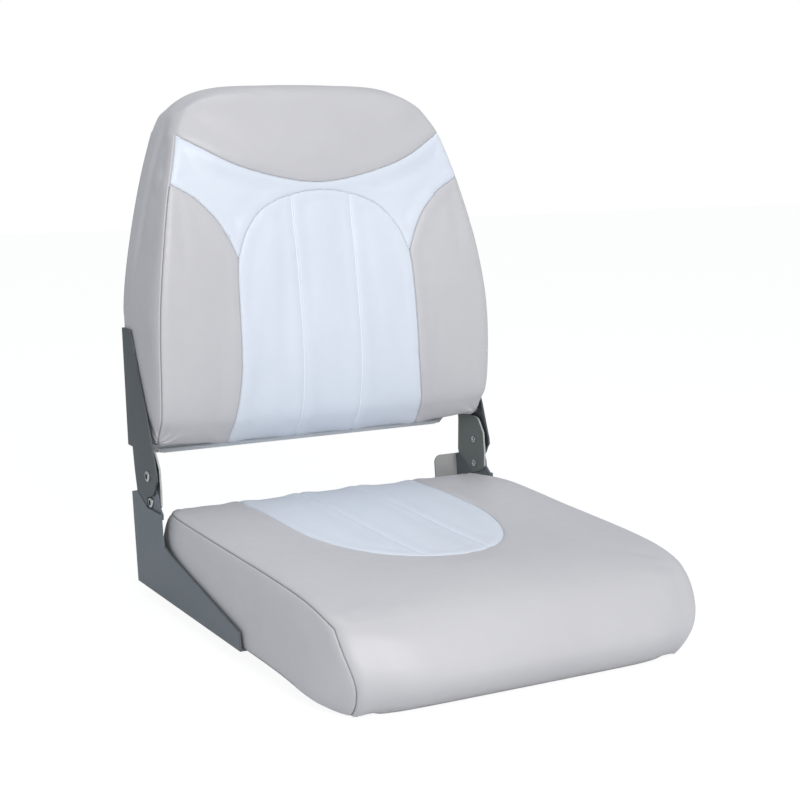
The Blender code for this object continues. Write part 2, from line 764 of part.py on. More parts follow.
def make_panels(body, cuts, panel_of, grooves, parts, finishes):
    """Parts the outer skin of a cushion into the panels of its cover, each a shell of the cover's wall."""
    work = bmesh.new()
    work.from_mesh(body.data)
    bmesh.ops.triangulate(work, faces=work.faces)
    for path, axis, kinds in cuts:
        knife(work, path, axis, kinds)
    work.normal_update()
    kind = work.faces.layers.int["kind"]
    label = work.faces.layers.int.new("panel")
    inner = work.verts.layers.float_vector.new("inner")
    names = []
    for face in work.faces:
        name = panel_of(face[kind], face.calc_center_median())
        if name not in names:
            names.append(name)
        face[label] = names.index(name)
    for vertex in work.verts:
        vertex[inner] = vertex.co - vertex.normal * cover_wall * min(vertex.calc_shell_factor(), math.sqrt(2))
    for vertex in work.verts:
        if grooves(vertex.co) and all(face[kind] != FLOOR for face in vertex.link_faces):
            vertex.co -= vertex.normal * channel_depth
    work.normal_update()
    for number, name in enumerate(names):
        if name is None:
            continue
        piece = work.copy()
        label = piece.faces.layers.int["panel"]
        inner = piece.verts.layers.float_vector["inner"]
        others = [face for face in piece.faces if face[label] != number]
        bmesh.ops.delete(piece, geom=others, context="FACES")
        shrink_border(piece, inner, gap * seam_gap_share)
        bmesh.ops.triangulate(piece, faces=piece.faces)
        made = bmesh.ops.extrude_face_region(piece, geom=piece.faces[:], use_keep_orig=True)["geom"]
        for vertex in [item for item in made if isinstance(item, bmesh.types.BMVert)]:
            vertex.co = vertex[inner]
        bmesh.ops.recalc_face_normals(piece, faces=piece.faces)
        mesh = bpy.data.meshes.new(name)
        piece.to_mesh(mesh)
        piece.free()
        white = "insert" in name or "band" in name
        finish(add_object(name, mesh, parts), finishes["white_vinyl" if white else "grey_vinyl"])
    work.free()
    bpy.data.objects.remove(body, do_unlink=True)


def mirrored(values):
    return [-v for v in reversed(values) if v > 0] + list(values)


def cushion_columns(half_width, fine):
    """Places across the cage: the middles and edges of the insert and of the bolsters."""
    side_place = (insert_half_width + half_width) / 2
    if not fine:
        return mirrored([0, side_place, half_width])
    return mirrored([0, insert_half_width / 2, insert_half_width, side_place, half_width])


def insert_border_forward(across):
    """Front edge of the seat's insert at a place across."""
    ratio = min(abs(across) / insert_half_width, 1)
    return insert_straight_end + (insert_tip - insert_straight_end) * math.sqrt(1 - ratio ** 2)


def across_at(across, full, width):
    """A column's place where the cushion is width wide instead of full: the bolsters give way."""
    if abs(across) <= insert_half_width:
        return across * min(1, width / insert_half_width * squeeze_share)
    share = (abs(across) - insert_half_width) / (full - insert_half_width)
    inner = min(insert_half_width, width * squeeze_share)
    return math.copysign(inner + (width - inner) * share, across)


def seat_body(name, inset, foot, droop, fine, collection):
    """The seat cushion's outer form, or the foam's form inside it, drooping in front of the base."""
    table = seat_row_shares
    columns = cushion_columns(seat_half_width, fine)

    def forward_at(column, row, first, last, bow):
        along = table[row][0]
        reach = abs(columns[column]) / seat_half_width
        forward = first + inset + along * (last - first - inset * 2)
        return forward - seat_bow * bow * reach ** bow_power * along ** 4

    def place(column, row):
        along, middle_height, seam_height, wide = table[row][:4]
        across = across_at(columns[column], seat_half_width, seat_half_width * wide - inset)
        forward = forward_at(column, row, seat_rear_edge, seat_front_edge, 1)
        reach = abs(columns[column]) / seat_half_width
        height = seat_height * (middle_height + (seam_height - middle_height) * reach ** 2) - inset
        bolster = insert_half_width < abs(columns[column]) < seat_half_width
        if bolster or forward > insert_tip and reach < 1:
            height += bolster_crown / 2
        return at(across, forward, height)

    def low_place(level, column, row):
        high, bow, first, last = seat_rings[level]
        first += inset / 2
        last -= inset / 2
        across = across_at(columns[column], seat_half_width, seat_half_width * table[row][4 + level] - inset)
        low = foot - (foot - inset + droop) * droop_shares[row] if droop else foot
        height = low + high * (place(column, row).z - low)
        return at(across, forward_at(column, row, first, last, bow), height)

    def ring_place(column, row):
        return low_place(0, column, row)

    def floor_place(column, row):
        return low_place(1, column, row)

    return cage(name, len(columns), len(table), place, [ring_place], floor_place, 0.6, collection)


def make_seat_cushion(parts, cutters, finishes):
    """Foam block and the four panels of the cover that is drawn over it."""
    foam = seat_body("seat_foam", cover_wall + foam_slack, base_thickness + gap, 0, False, parts)
    finish(foam, finishes["foam"])
    reach = insert_tip - insert_straight_end
    border = [(insert_half_width * math.cos(a), insert_straight_end + reach * math.sin(a))
              for a in np.radians(np.linspace(0, 180, seam_steps + 1))]
    outline = [(insert_half_width, -overrun)] + border + [(-insert_half_width, -overrun)]
    ahead = insert_border_forward(channel_place)
    side = channel_place - channel_half_width
    top = {FACE, FIRST_END}
    cuts = [([at(x, forward, 0) for x, forward in outline], 2, top)]
    for across in (-1, 1):
        for place in (side, channel_place, channel_place + channel_half_width):
            line = [at(across * place, -overrun, 0), at(across * place, insert_border_forward(place), 0)]
            cuts.append((line, 2, top))
    flap_edge = base_front + running_gap * 2
    flap_half = base_half_width - base_corner
    cuts.append(([at(-seat_half_width, flap_edge, 0), at(seat_half_width, flap_edge, 0)], 2, {FLOOR}))
    for across in (-flap_half, flap_half):
        cuts.append(([at(across, flap_edge, 0), at(across, seat_front_edge, 0)], 2, {FLOOR}))
    rear_edge = base_thickness + cover_wall / 2 + gap
    rear_line = [at(-seat_half_width, 0, rear_edge), at(seat_half_width, 0, rear_edge)]
    cuts.append((rear_line, 1, {FIRST_END}))

    def panel_of(kind, centre):
        forward = bracket_rear - centre.y
        if kind == FLOOR:
            in_front = forward > flap_edge and abs(centre.x) < flap_half
            return "seat_cover_main" if in_front else None
        if kind == FIRST_END and centre.z < rear_edge:
            return None
        if kind in (LEFT, RIGHT):
            return "seat_cover_side_left" if kind == LEFT else "seat_cover_side_right"
        if kind in top and inside_outline(outline, (centre.x, forward)):
            return "seat_cover_insert"
        return "seat_cover_main"

    def grooves(point):
        forward = bracket_rear - point.y
        on_line = abs(abs(point.x) - channel_place) < gap and forward < ahead - channel_half_width
        return on_line and point.z > seat_height / 3

    body = seat_body("seat_cover", 0, cushion_bottom, seat_droop, True, cutters)
    make_panels(body, cuts, panel_of, grooves, parts, finishes)
    for name in ("seat_cover_main", "seat_cover_side_left", "seat_cover_side_right"):
        panel = bpy.data.objects[name]
        material = panel.data.materials[0]
        finish(cut_solid(panel, flange_pockets("pocket_" + name, gap, cutters)), material)


def back_point(across_share, up_share, depth_share):
    height = back_bottom + up_share * (back_top - back_bottom)
    return at(across_share * back_half_width, depth_share * back_depth, height)


def back_body(name, inset, rim_depth, fine, collection):
    """The back cushion's outer form, or the foam's form inside it, to a plane in front of the arms."""
    table = back_row_shares
    last = len(table) - 1
    columns = cushion_columns(back_half_width, fine)
    low, high = back_bottom + inset, back_front_top - inset

    def place(column, row):
        along, middle_deep, seam_deep, wide = table[row][:4]
        across = across_at(columns[column], back_half_width, back_half_width * wide - inset)
        reach = abs(columns[column]) / back_half_width
        height = low + along * (high - low)
        height += back_corner_rise * reach ** 4 * max(0, 1 - along * 8)
        height -= back_top_drop * reach ** 3 * along ** 12
        forward = back_depth * (middle_deep + (seam_deep - middle_deep) * reach ** 2) - inset
        if insert_half_width < abs(columns[column]) < back_half_width and along < bolster_top_share:
            forward += bolster_crown / 2
        return at(across, forward, height)

    def rear_of(level, column, row):
        start = place(column, row)
        back, outward, rise = back_rings[level]
        seam, rear = table[row][3:5]
        width = back_half_width * (seam + (rear - seam) * outward) - inset
        height = start.z
        if row == last:
            height += (back_top - back_front_top) * rise
        if row == 0:
            height -= edge_round * 2 * outward
        front = bracket_rear - start.y
        rear = rear_place(height, rim_depth)
        across = across_at(columns[column], back_half_width, width)
        return at(across, front + (rear - front) * back, height)

    def ring_place(column, row):
        return rear_of(0, column, row)

    def floor_place(column, row):
        return rear_of(1, column, row)

    return cage(name, len(columns), len(table), place, [ring_place], floor_place, 0.6, collection)


def seam_path(shares, both):
    """A seam's points across the back, on one side or carried over to the other."""
    right = [back_point(x, up, 0) for x, up in shares]
    if not both:
        return right
    left = [back_point(-x, up, 0) for x, up in shares if x > 0]
    return left[::-1] + right if shares[0][0] == 0 else right + left[::-1]


def make_back_cushion(parts, cutters, finishes):
    """Foam block and the five panels of the cover that is drawn over it and over the panel's edges."""
    front_face = plate + gap + panel_thickness + gap
    foam = back_body("back_foam", cover_wall + foam_slack, front_face, False, parts)
    finish(foam, finishes["foam"])
    head = seam_path(head_seam_shares, True)
    insert = seam_path(insert_seam_shares, True)
    front = {FACE, FIRST_END}
    cuts = [(head, 1, {FACE}), (insert, 1, front)]
    for side in (-1, 1):
        cuts.append((seam_path([(side * x, up) for x, up in wing_seam_shares], False), 1, {FACE}))
    channel_top = back_bottom + insert_seam_shares[-2][1] * (back_top - back_bottom)
    for side in (-1, 1):
        for place in (channel_place - channel_half_width, channel_place, channel_place + channel_half_width):
            cuts.append(([at(side * place, 0, back_bottom - overrun), at(side * place, 0, channel_top)], 1, front))
    rear_line = [at(0, rear_place(height, front_face + gap), height) for height in (panel_bottom, back_front_top)]
    cuts.append((rear_line, 0, {FIRST_END}))
    insert_outline = [(point.x, point.z) for point in insert]
    head_line = [(point.x, point.z) for point in head]
    wing = [(x * back_half_width, back_bottom + up * (back_top - back_bottom)) for x, up in wing_seam_shares]

    def panel_of(kind, centre):
        height = centre.z
        behind = bracket_rear - centre.y < rear_place(height, front_face + gap)
        if kind == FLOOR or kind == FIRST_END and behind:
            return None
        if kind in (LEFT, RIGHT, LAST_END):
            return "back_cover_head"
        if height > np.interp(centre.x, *zip(*head_line)) and kind == FACE:
            return "back_cover_head"
        if inside_outline(insert_outline, (centre.x, height)):
            return "back_cover_insert"
        if height > np.interp(abs(centre.x), *zip(*wing)):
            return "back_cover_band"
        return "back_cover_bolster_left" if centre.x < 0 else "back_cover_bolster_right"

    def grooves(point):
        on_line = abs(abs(point.x) - channel_place) < gap and point.z < channel_top - channel_half_width
        return on_line and bracket_rear - point.y > back_depth / 3

    body = back_body("back_cover", 0, plate + gap, True, cutters)
    make_panels(body, cuts, panel_of, grooves, parts, finishes)


def panel_outline(inset):
    """Back panel's outline up its slope, inside the cover's edge by the inset."""
    foot = panel_height(panel_bottom)
    half = back_half_width * back_row_shares[0][4] - inset
    right = [(half - flange_corner, foot), (half, foot + flange_corner)]
    for along, middle_deep, seam_deep, seam, rear in back_row_shares:
        height = back_bottom + along * (back_front_top - back_bottom)
        if 0 < along < 1:
            right.append((back_half_width * rear - inset, panel_height(height)))
    top = panel_height(back_front_top + (back_top - back_front_top) * back_rings[1][2] - inset)
    corner = back_half_width * back_row_shares[-1][4] - inset
    right += [(corner * (1 - k / 4), top - back_top_drop * (1 - k / 4) ** 3) for k in range(4)]
    return right + [(-x, up) for x, up in reversed(right)]


def back_screw_places():
    middle = half_span - screw_inset
    top = panel_height(arm_top_height)
    return [(side * middle, share * top, label + "_" + str(k + 1))
            for side, label in ((-1, "left"), (1, "right")) for k, share in enumerate(back_screw_shares)]


def make_back_panel(parts, finishes):
    holes = [circle((x, up), screw_radius + gap, screw_sides) for x, up, label in back_screw_places()]
    frame = back_frame(plate + gap + panel_thickness / 2)
    outline = panel_outline(cover_wall * 2)
    panel = flat_piece("back_panel", [outline] + holes, panel_thickness, frame, parts)
    return finish(panel, finishes["moulded_plastic"])


def mirrored_copy(item, name, collection):
    """The same piece on the other side of the seat, as an object of its own."""
    mesh = item.data.copy()
    origin = item.matrix_world.translation.copy()
    origin.x = -origin.x
    work = bmesh.new()
    work.from_mesh(mesh)
    work.transform(item.matrix_world)
    bmesh.ops.scale(work, vec=(-1, 1, 1), verts=work.verts)
    bmesh.ops.reverse_faces(work, faces=work.faces)
    bmesh.ops.translate(work, vec=-origin, verts=work.verts)
    work.to_mesh(mesh)
    work.free()
    copy = bpy.data.objects.new(name, mesh)
    collection.objects.link(copy)
    copy.location = origin
    bpy.context.view_layer.update()
    return copy


def make_hinge_side(parts, cutters, finishes):
    """Left bracket, link, arm, spacer, rivets and screws, listed with the axis that each turns on."""
    side, label = -1, "left"
    painted, bright = finishes["painted_steel"], finishes["bright_steel"]
    lower_face = tongue_middle + plate / 2 + gap
    upper_face = half_span + gap
    pieces = [(finish(make_bracket(side, label, parts, cutters), painted), None),
              (finish(make_link(side, label, parts), painted), "lower"),
              (finish(make_arm(side, label, parts, cutters), painted), "upper"),
              (finish(make_spacer(side, label, parts), bright), "upper"),
              (finish(rivet("lower_rivet_" + label, side, lower_pivot, lower_face, parts), bright), None),
              (finish(rivet("upper_rivet_" + label, side, upper_pivot, upper_face, parts), bright), "upper")]
    middle = side * (half_span - screw_inset)
    for k, place in enumerate(base_screw_places()):
        name = "base_screw_" + label + "_" + str(k + 1)
        screw = plain_screw(name, at(middle, place, 0), (0, 0, 1), base_screw_length, True, parts)
        pieces.append((finish(screw, bright), None))
    origin = at(middle, -(screw_line() + screw_head_radius) * bracket_lean / bracket_height, screw_line())
    screw = plain_screw("rear_screw_" + label, origin, (0, -1, 0), rear_screw_length, False, parts)
    pieces.append((finish(screw, bright), None))
    for k, share in enumerate(back_screw_shares):
        origin = flange_foot + Vector((middle, 0, 0)) + back_up * share * panel_height(arm_top_height)
        name = "back_screw_" + label + "_" + str(k + 1)
        screw = plain_screw(name, origin, back_forward, back_screw_length, False, parts)
        pieces.append((finish(screw, bright), None))
    return pieces


def build():
    clear_scene()
    parts = new_collection("folding_boat_seat")
    cutters = new_collection("cutters")
    finishes = {name: make_material(name) for name in materials}
    finish(make_base(parts, cutters), finishes["moulded_plastic"])
    for index, place in enumerate(bolt_places()):
        finish(make_nut(index + 1, place, parts), finishes["bright_steel"])
    make_seat_cushion(parts, cutters, finishes)
    make_back_panel(parts, finishes)
    make_back_cushion(parts, cutters, finishes)
    left = make_hinge_side(parts, cutters, finishes)
    right = [(mirrored_copy(item, item.name.replace("left", "right"), parts), turn) for item, turn in left]
    for side, label, pieces in ((-1, "left", left), (1, "right", right)):
        axes = {}
        for name, pivot in (("lower", lower_pivot), ("upper", upper_pivot)):
            axes[name] = bpy.data.objects.new(name + "_pivot_" + label, None)
            parts.objects.link(axes[name])
            axes[name].location = at(side * link_middle, pivot[0], pivot[1])
        bpy.context.view_layer.update()
        for item, turn in pieces:
            if turn:
                hang_on(item, axes[turn])


build()
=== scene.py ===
import math

import bmesh
import bpy
import numpy as np
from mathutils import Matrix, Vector, noise
from mathutils.kdtree import KDTree


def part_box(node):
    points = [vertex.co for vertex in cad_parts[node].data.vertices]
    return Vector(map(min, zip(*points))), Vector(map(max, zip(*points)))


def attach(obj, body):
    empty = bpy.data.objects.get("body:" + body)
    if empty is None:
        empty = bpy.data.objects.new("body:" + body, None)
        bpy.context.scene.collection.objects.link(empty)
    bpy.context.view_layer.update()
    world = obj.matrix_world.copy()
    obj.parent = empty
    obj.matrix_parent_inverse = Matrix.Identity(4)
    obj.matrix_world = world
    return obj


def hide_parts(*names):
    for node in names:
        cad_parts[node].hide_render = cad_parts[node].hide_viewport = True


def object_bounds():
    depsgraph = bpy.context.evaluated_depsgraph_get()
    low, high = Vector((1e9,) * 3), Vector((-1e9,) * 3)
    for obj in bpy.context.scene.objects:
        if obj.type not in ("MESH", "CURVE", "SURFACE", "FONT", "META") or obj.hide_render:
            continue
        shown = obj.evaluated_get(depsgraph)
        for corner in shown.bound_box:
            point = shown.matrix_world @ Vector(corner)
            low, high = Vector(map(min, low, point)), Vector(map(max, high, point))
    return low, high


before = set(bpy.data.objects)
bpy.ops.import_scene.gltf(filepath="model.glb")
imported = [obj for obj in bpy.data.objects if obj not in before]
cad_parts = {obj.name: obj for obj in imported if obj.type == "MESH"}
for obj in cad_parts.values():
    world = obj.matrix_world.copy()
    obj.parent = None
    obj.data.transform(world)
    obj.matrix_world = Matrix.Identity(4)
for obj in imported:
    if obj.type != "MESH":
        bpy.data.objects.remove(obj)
cad_low, cad_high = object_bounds()

# Seat cushion: a foam block under a sewn vinyl cover. The cover has a grey border that runs over the
# front and rear edges, a white insert with two sewn channels, and a grey side panel at each side.
# The panels are sewn face to face, turned, and drawn down over the foam onto the base.
bracket_rear = 0.290
seat_half = 0.2355
insert_half = 0.1255
insert_straight = 0.205
insert_front = 0.405
channel_across = 0.041
seat_top = 0.105
base_front = 0.498
base_top = 0.012
seam_crease = 0.25
fit_turns = 5
cut_cell = 0.012
cut_snap = 0.0003
free_reach = 0.030
sewn_reach = 0.022
cloth_cell = 0.0055
cloth_frames = 20
welding = 0.0009
strips = (0.0010, 0.0009)
knot_reach = 0.0045
vinyl_thickness = 0.0022
FACE, LEFT, RIGHT, FIRST_END, LAST_END, FLOOR = range(6)


def at(across, forward, height):
    return Vector((across, bracket_rear - forward, height))


def placed(name, data):
    item = bpy.data.objects.new(name, data)
    bpy.context.scene.collection.objects.link(item)
    return item


def mirrored(values):
    return [-v for v in reversed(values) if v > 0] + list(values)


def grid_of(work, columns, rows, level, spots):
    made = bmesh.ops.create_grid(work, x_segments=columns - 1, y_segments=rows - 1, size=1)["verts"]
    for vertex in made:
        column = round((vertex.co.x + 1) / 2 * (columns - 1))
        row = round((vertex.co.y + 1) / 2 * (rows - 1))
        spots[vertex] = (column, row, level)
        vertex.co.z = -level
    return made


def side_of(places, columns):
    if all(place[0] == 0 for place in places):
        return LEFT
    if all(place[0] == columns - 1 for place in places):
        return RIGHT
    return FIRST_END if all(place[1] == 0 for place in places) else LAST_END


def cushion_form(name, columns, rows, places, seam_rows):
    """A smooth closed cushion from a coarse cage: a face, rings down its sides and a floor."""
    work = bmesh.new()
    kind = work.faces.layers.int.new("kind")
    sharp = work.edges.layers.float.new("crease_edge")
    spots = {}
    grid_of(work, columns, rows, 0, spots)
    border = [edge for edge in work.edges if edge.is_boundary]
    for edge in border:
        ends = [spots[v] for v in edge.verts]
        if ends[0][0] == ends[1][0] and max(ends[0][1], ends[1][1]) <= seam_rows:
            edge[sharp] = seam_crease
    last_level = len(places) - 1
    for level in range(1, last_level + 1):
        last = {(v.co.x, v.co.y): spots[v] for edge in border for v in edge.verts}
        made = bmesh.ops.extrude_edge_only(work, edges=border)["geom"]
        for vertex in [item for item in made if isinstance(item, bmesh.types.BMVert)]:
            spots[vertex] = last[(vertex.co.x, vertex.co.y)][:2] + (level,)
            vertex.co.z = -level
        border = [item for item in made if isinstance(item, bmesh.types.BMEdge)]
        for face in [item for item in made if isinstance(item, bmesh.types.BMFace)]:
            face[kind] = side_of([spots[v] for v in face.verts], columns)
    for face in {f for vertex in grid_of(work, columns, rows, last_level, spots) for f in vertex.link_faces}:
        face[kind] = FLOOR
        face.normal_flip()
    for vertex, (column, row, level) in spots.items():
        vertex.co = places[level](column, row)
    bmesh.ops.remove_doubles(work, verts=work.verts, dist=1e-6)
    for edge in work.edges:
        if len({face[kind] == FLOOR for face in edge.link_faces}) > 1:
            edge[sharp] = 1
    bmesh.ops.recalc_face_normals(work, faces=work.faces)
    mesh = bpy.data.meshes.new(name)
    work.to_mesh(mesh)
    work.free()
    item = placed(name, mesh)
    smooth = item.modifiers.new("smooth", "SUBSURF")
    smooth.levels = smooth.render_levels = 2
    targets = [vertex.co.copy() for vertex in mesh.vertices]
    for turn in range(fit_turns):
        reached = mesh_of(item)
        for vertex, target, now in zip(mesh.vertices, targets, reached.vertices):
            vertex.co += target - now.co
        mesh.update()
        bpy.data.meshes.remove(reached)
    smooth.levels = smooth.render_levels = 4
    form = mesh_of(item)
    bpy.data.objects.remove(item, do_unlink=True)
    return form


def mesh_of(item):
    graph = bpy.context.evaluated_depsgraph_get()
    graph.update()
    return bpy.data.meshes.new_from_object(item.evaluated_get(graph))


def across_at(across, full, width):
    if abs(across) <= insert_half:
        return across * min(1, width / insert_half * 0.9)
    inner = min(insert_half, width * 0.9)
    share = (abs(across) - insert_half) / (full - insert_half)
    return math.copysign(inner + (width - inner) * share, across)


# Each row from rear to front: place along, height at the middle and at the seam, then half-width at
# the seam, at mid height and at the bottom, and the droop of the lower edge.
seat_rows = [(0.0, 0.985, 0.935, 0.928, 0.940, 0.950, 0), (0.065, 1.000, 0.985, 0.968, 0.975, 0.975, 0),
             (0.190, 1.010, 1.010, 0.995, 0.999, 0.993, 0), (0.400, 0.985, 0.985, 0.990, 1.001, 0.995, 0),
             (0.610, 0.970, 0.965, 0.984, 1.001, 0.995, 0), (0.795, 0.960, 0.935, 0.980, 1.000, 0.992, 0.12),
             (0.915, 0.930, 0.875, 0.975, 0.975, 0.968, 0.6), (1.0, 0.810, 0.775, 0.958, 0.940, 0.880, 1.0)]
seat_columns = mirrored([0, 0.0628, insert_half, 0.1755, 0.2135, seat_half])


def seat_forward(column, row, rear, front, bow, inset):
    along = seat_rows[row][0]
    reach = abs(seat_columns[column]) / seat_half
    forward = rear + inset + along * (front - rear - inset * 2)
    return forward - 0.023 * bow * reach ** 5 * along ** 4


def seat_form(name, inset, foot, droop, crown):
    def face_place(column, row):
        middle_height, seam_height, wide = seat_rows[row][1:4]
        across = across_at(seat_columns[column], seat_half, seat_half * wide - inset)
        forward = seat_forward(column, row, 0.057, 0.540, 1, inset)
        reach = abs(seat_columns[column]) / seat_half
        height = seat_top * (middle_height + (seam_height - middle_height) * reach ** 2) - inset
        if reach == 1:
            across -= math.copysign(0.0030, across)
            height -= 0.0020
        elif abs(seat_columns[column]) > insert_half or forward > insert_front:
            height += crown
        return at(across, forward, height)

    def lower(share, rear, front, bow, width):
        def place(column, row):
            wide = seat_rows[row][4] + (seat_rows[row][5] - seat_rows[row][4]) * width
            across = across_at(seat_columns[column], seat_half, seat_half * wide - inset)
            low = foot - (foot + droop) * seat_rows[row][6] if droop else foot
            height = low + share * (face_place(column, row).z - low)
            return at(across, seat_forward(column, row, rear + inset / 2, front - inset / 2, bow, inset), height)

        return place

    places = [face_place, lower(0.74, 0.048, 0.5640, 1.2, 0), lower(0.44, 0.040, 0.574, 1.2, 0.5),
              lower(0.16, 0.025, 0.5565, 0.9, 0.9), lower(0, 0.015, 0.534, 0.5, 1)]
    return cushion_form(name, len(seat_columns), len(seat_rows), places, len(seat_rows))


def cut_line(work, path, axis, kinds):
    """Cuts edges into a cover along a line seen along one axis, on faces of the given kinds."""
    kind = work.faces.layers.int["kind"]
    view = Vector([1 if k == axis else 0 for k in range(3)])
    flat = [k for k in range(3) if k != axis]
    cells = {}

    def cell(point):
        return tuple(math.floor(point[k] / cut_cell) for k in flat)

    def note(faces):
        for face in faces:
            cells.setdefault(cell(face.calc_center_median()), {})[face] = True

    note([face for face in work.faces if face[kind] in kinds])
    for first, second in zip(path, path[1:]):
        lows = [min(first[k], second[k]) - cut_snap for k in flat]
        highs = [max(first[k], second[k]) + cut_snap for k in flat]
        starts, ends = ([math.floor(v / cut_cell) for v in side] for side in (lows, highs))
        faces = {}
        for row in range(starts[0] - 1, ends[0] + 2):
            for column in range(starts[1] - 1, ends[1] + 2):
                for face in cells.get((row, column), ()):
                    if face.is_valid:
                        spans = [[v.co[k] for v in face.verts] for k in flat]
                        if all(max(s) > low and min(s) < high for s, low, high in zip(spans, lows, highs)):
                            faces[face] = True
        near = list(faces) + list(dict.fromkeys(e for f in faces for e in f.edges))
        near += list(dict.fromkeys(v for f in faces for v in f.verts))
        across = (Vector(second) - Vector(first)).cross(view).normalized()
        made = bmesh.ops.bisect_plane(work, geom=near, dist=cut_snap, plane_co=Vector(first), plane_no=across)
        note([item for item in made["geom"] if isinstance(item, bmesh.types.BMFace)])


def inside(outline, point):
    """Whether a flat point lies in a closed outline."""
    found = False
    for (x0, y0), (x1, y1) in zip(outline, outline[1:] + outline[:1]):
        if (y0 > point[1]) != (y1 > point[1]) and point[0] < x0 + (point[1] - y0) / (y1 - y0) * (x1 - x0):
            found = not found
    return found


def seam_points(work, region, panel, white):
    """Points every millimetre or so along the edges where two panels or two channels meet."""
    points, welted = [], []
    for edge in work.edges:
        if len({face[region] for face in edge.link_faces}) > 1:
            first, second = edge.verts[0].co, edge.verts[1].co
            steps = max(1, math.ceil((second - first).length / 0.001))
            points += [first.lerp(second, k / steps) for k in range(steps + 1)]
            welted += [any(face[panel] in white for face in edge.link_faces)] * (steps + 1)
    return points, welted


def tree_of(points):
    tree = KDTree(len(points))
    for k, point in enumerate(points):
        tree.insert(point, k)
    tree.balance()
    return tree


def stuff(form, seams, cap, held):
    """Lets the foam's pressure swell the cover between its seams, and returns the swollen places."""
    places = np.array([v.co for v in form.vertices])
    normals = np.array([v.normal for v in form.vertices])
    reach = np.array([min(seams.find(v.co)[2] / free_reach, 1) for v in form.vertices])
    soft = reach * reach * (3 - 2 * reach) * np.array([1 - held(v.co, v.normal) for v in form.vertices])
    start = places - normals * (soft * cap * 0.6)[:, None]
    loose = form.copy()
    loose.vertices.foreach_set("co", start.ravel())
    item = placed("loose_cover", loose)
    remesh = item.modifiers.new("remesh", "REMESH")
    remesh.mode = "VOXEL"
    remesh.voxel_size = cloth_cell
    even = mesh_of(item)
    bpy.data.objects.remove(item, do_unlink=True)
    item = placed("loose_cover", even)
    group = item.vertex_groups.new(name="sewn")
    for vertex in even.vertices:
        near = min(seams.find(vertex.co)[2] / sewn_reach, 1)
        group.add([vertex.index], max(held(vertex.co, vertex.normal), 1 - near), "REPLACE")
    cloth = item.modifiers.new("cloth", "CLOTH")
    settings = cloth.settings
    settings.quality = 4
    settings.use_pressure = True
    settings.uniform_pressure_force = 4
    settings.vertex_group_mass = "sewn"
    settings.pin_stiffness = 1
    settings.tension_stiffness = settings.compression_stiffness = 12
    settings.bending_stiffness = 1.5
    settings.effector_weights.gravity = 0
    cloth.point_cache.frame_start = 1
    cloth.point_cache.frame_end = cloth_frames
    first = np.array([v.co for v in even.vertices])
    for number in range(1, cloth_frames + 1):
        bpy.context.scene.frame_set(number)
    swollen = mesh_of(item)
    moved = np.array([v.co for v in swollen.vertices]) - first
    bpy.context.scene.frame_set(1)
    bpy.data.objects.remove(item, do_unlink=True)
    length = np.linalg.norm(moved, axis=1)
    moved *= (cap * np.tanh(length / cap) / np.maximum(length, 1e-9))[:, None]
    tree = tree_of([Vector(p) for p in first])
    swell = np.zeros_like(start)
    for k, place in enumerate(start):
        found = tree.find_n(Vector(place), 8)
        weights = np.array([math.exp(-(d / 0.007) ** 2) + 1e-6 for c, n, d in found])
        swell[k] = (moved[[n for c, n, d in found]] * weights[:, None]).sum(0) / weights.sum()
    lift = (swell * normals).sum(1)
    return start + normals * lift[:, None]


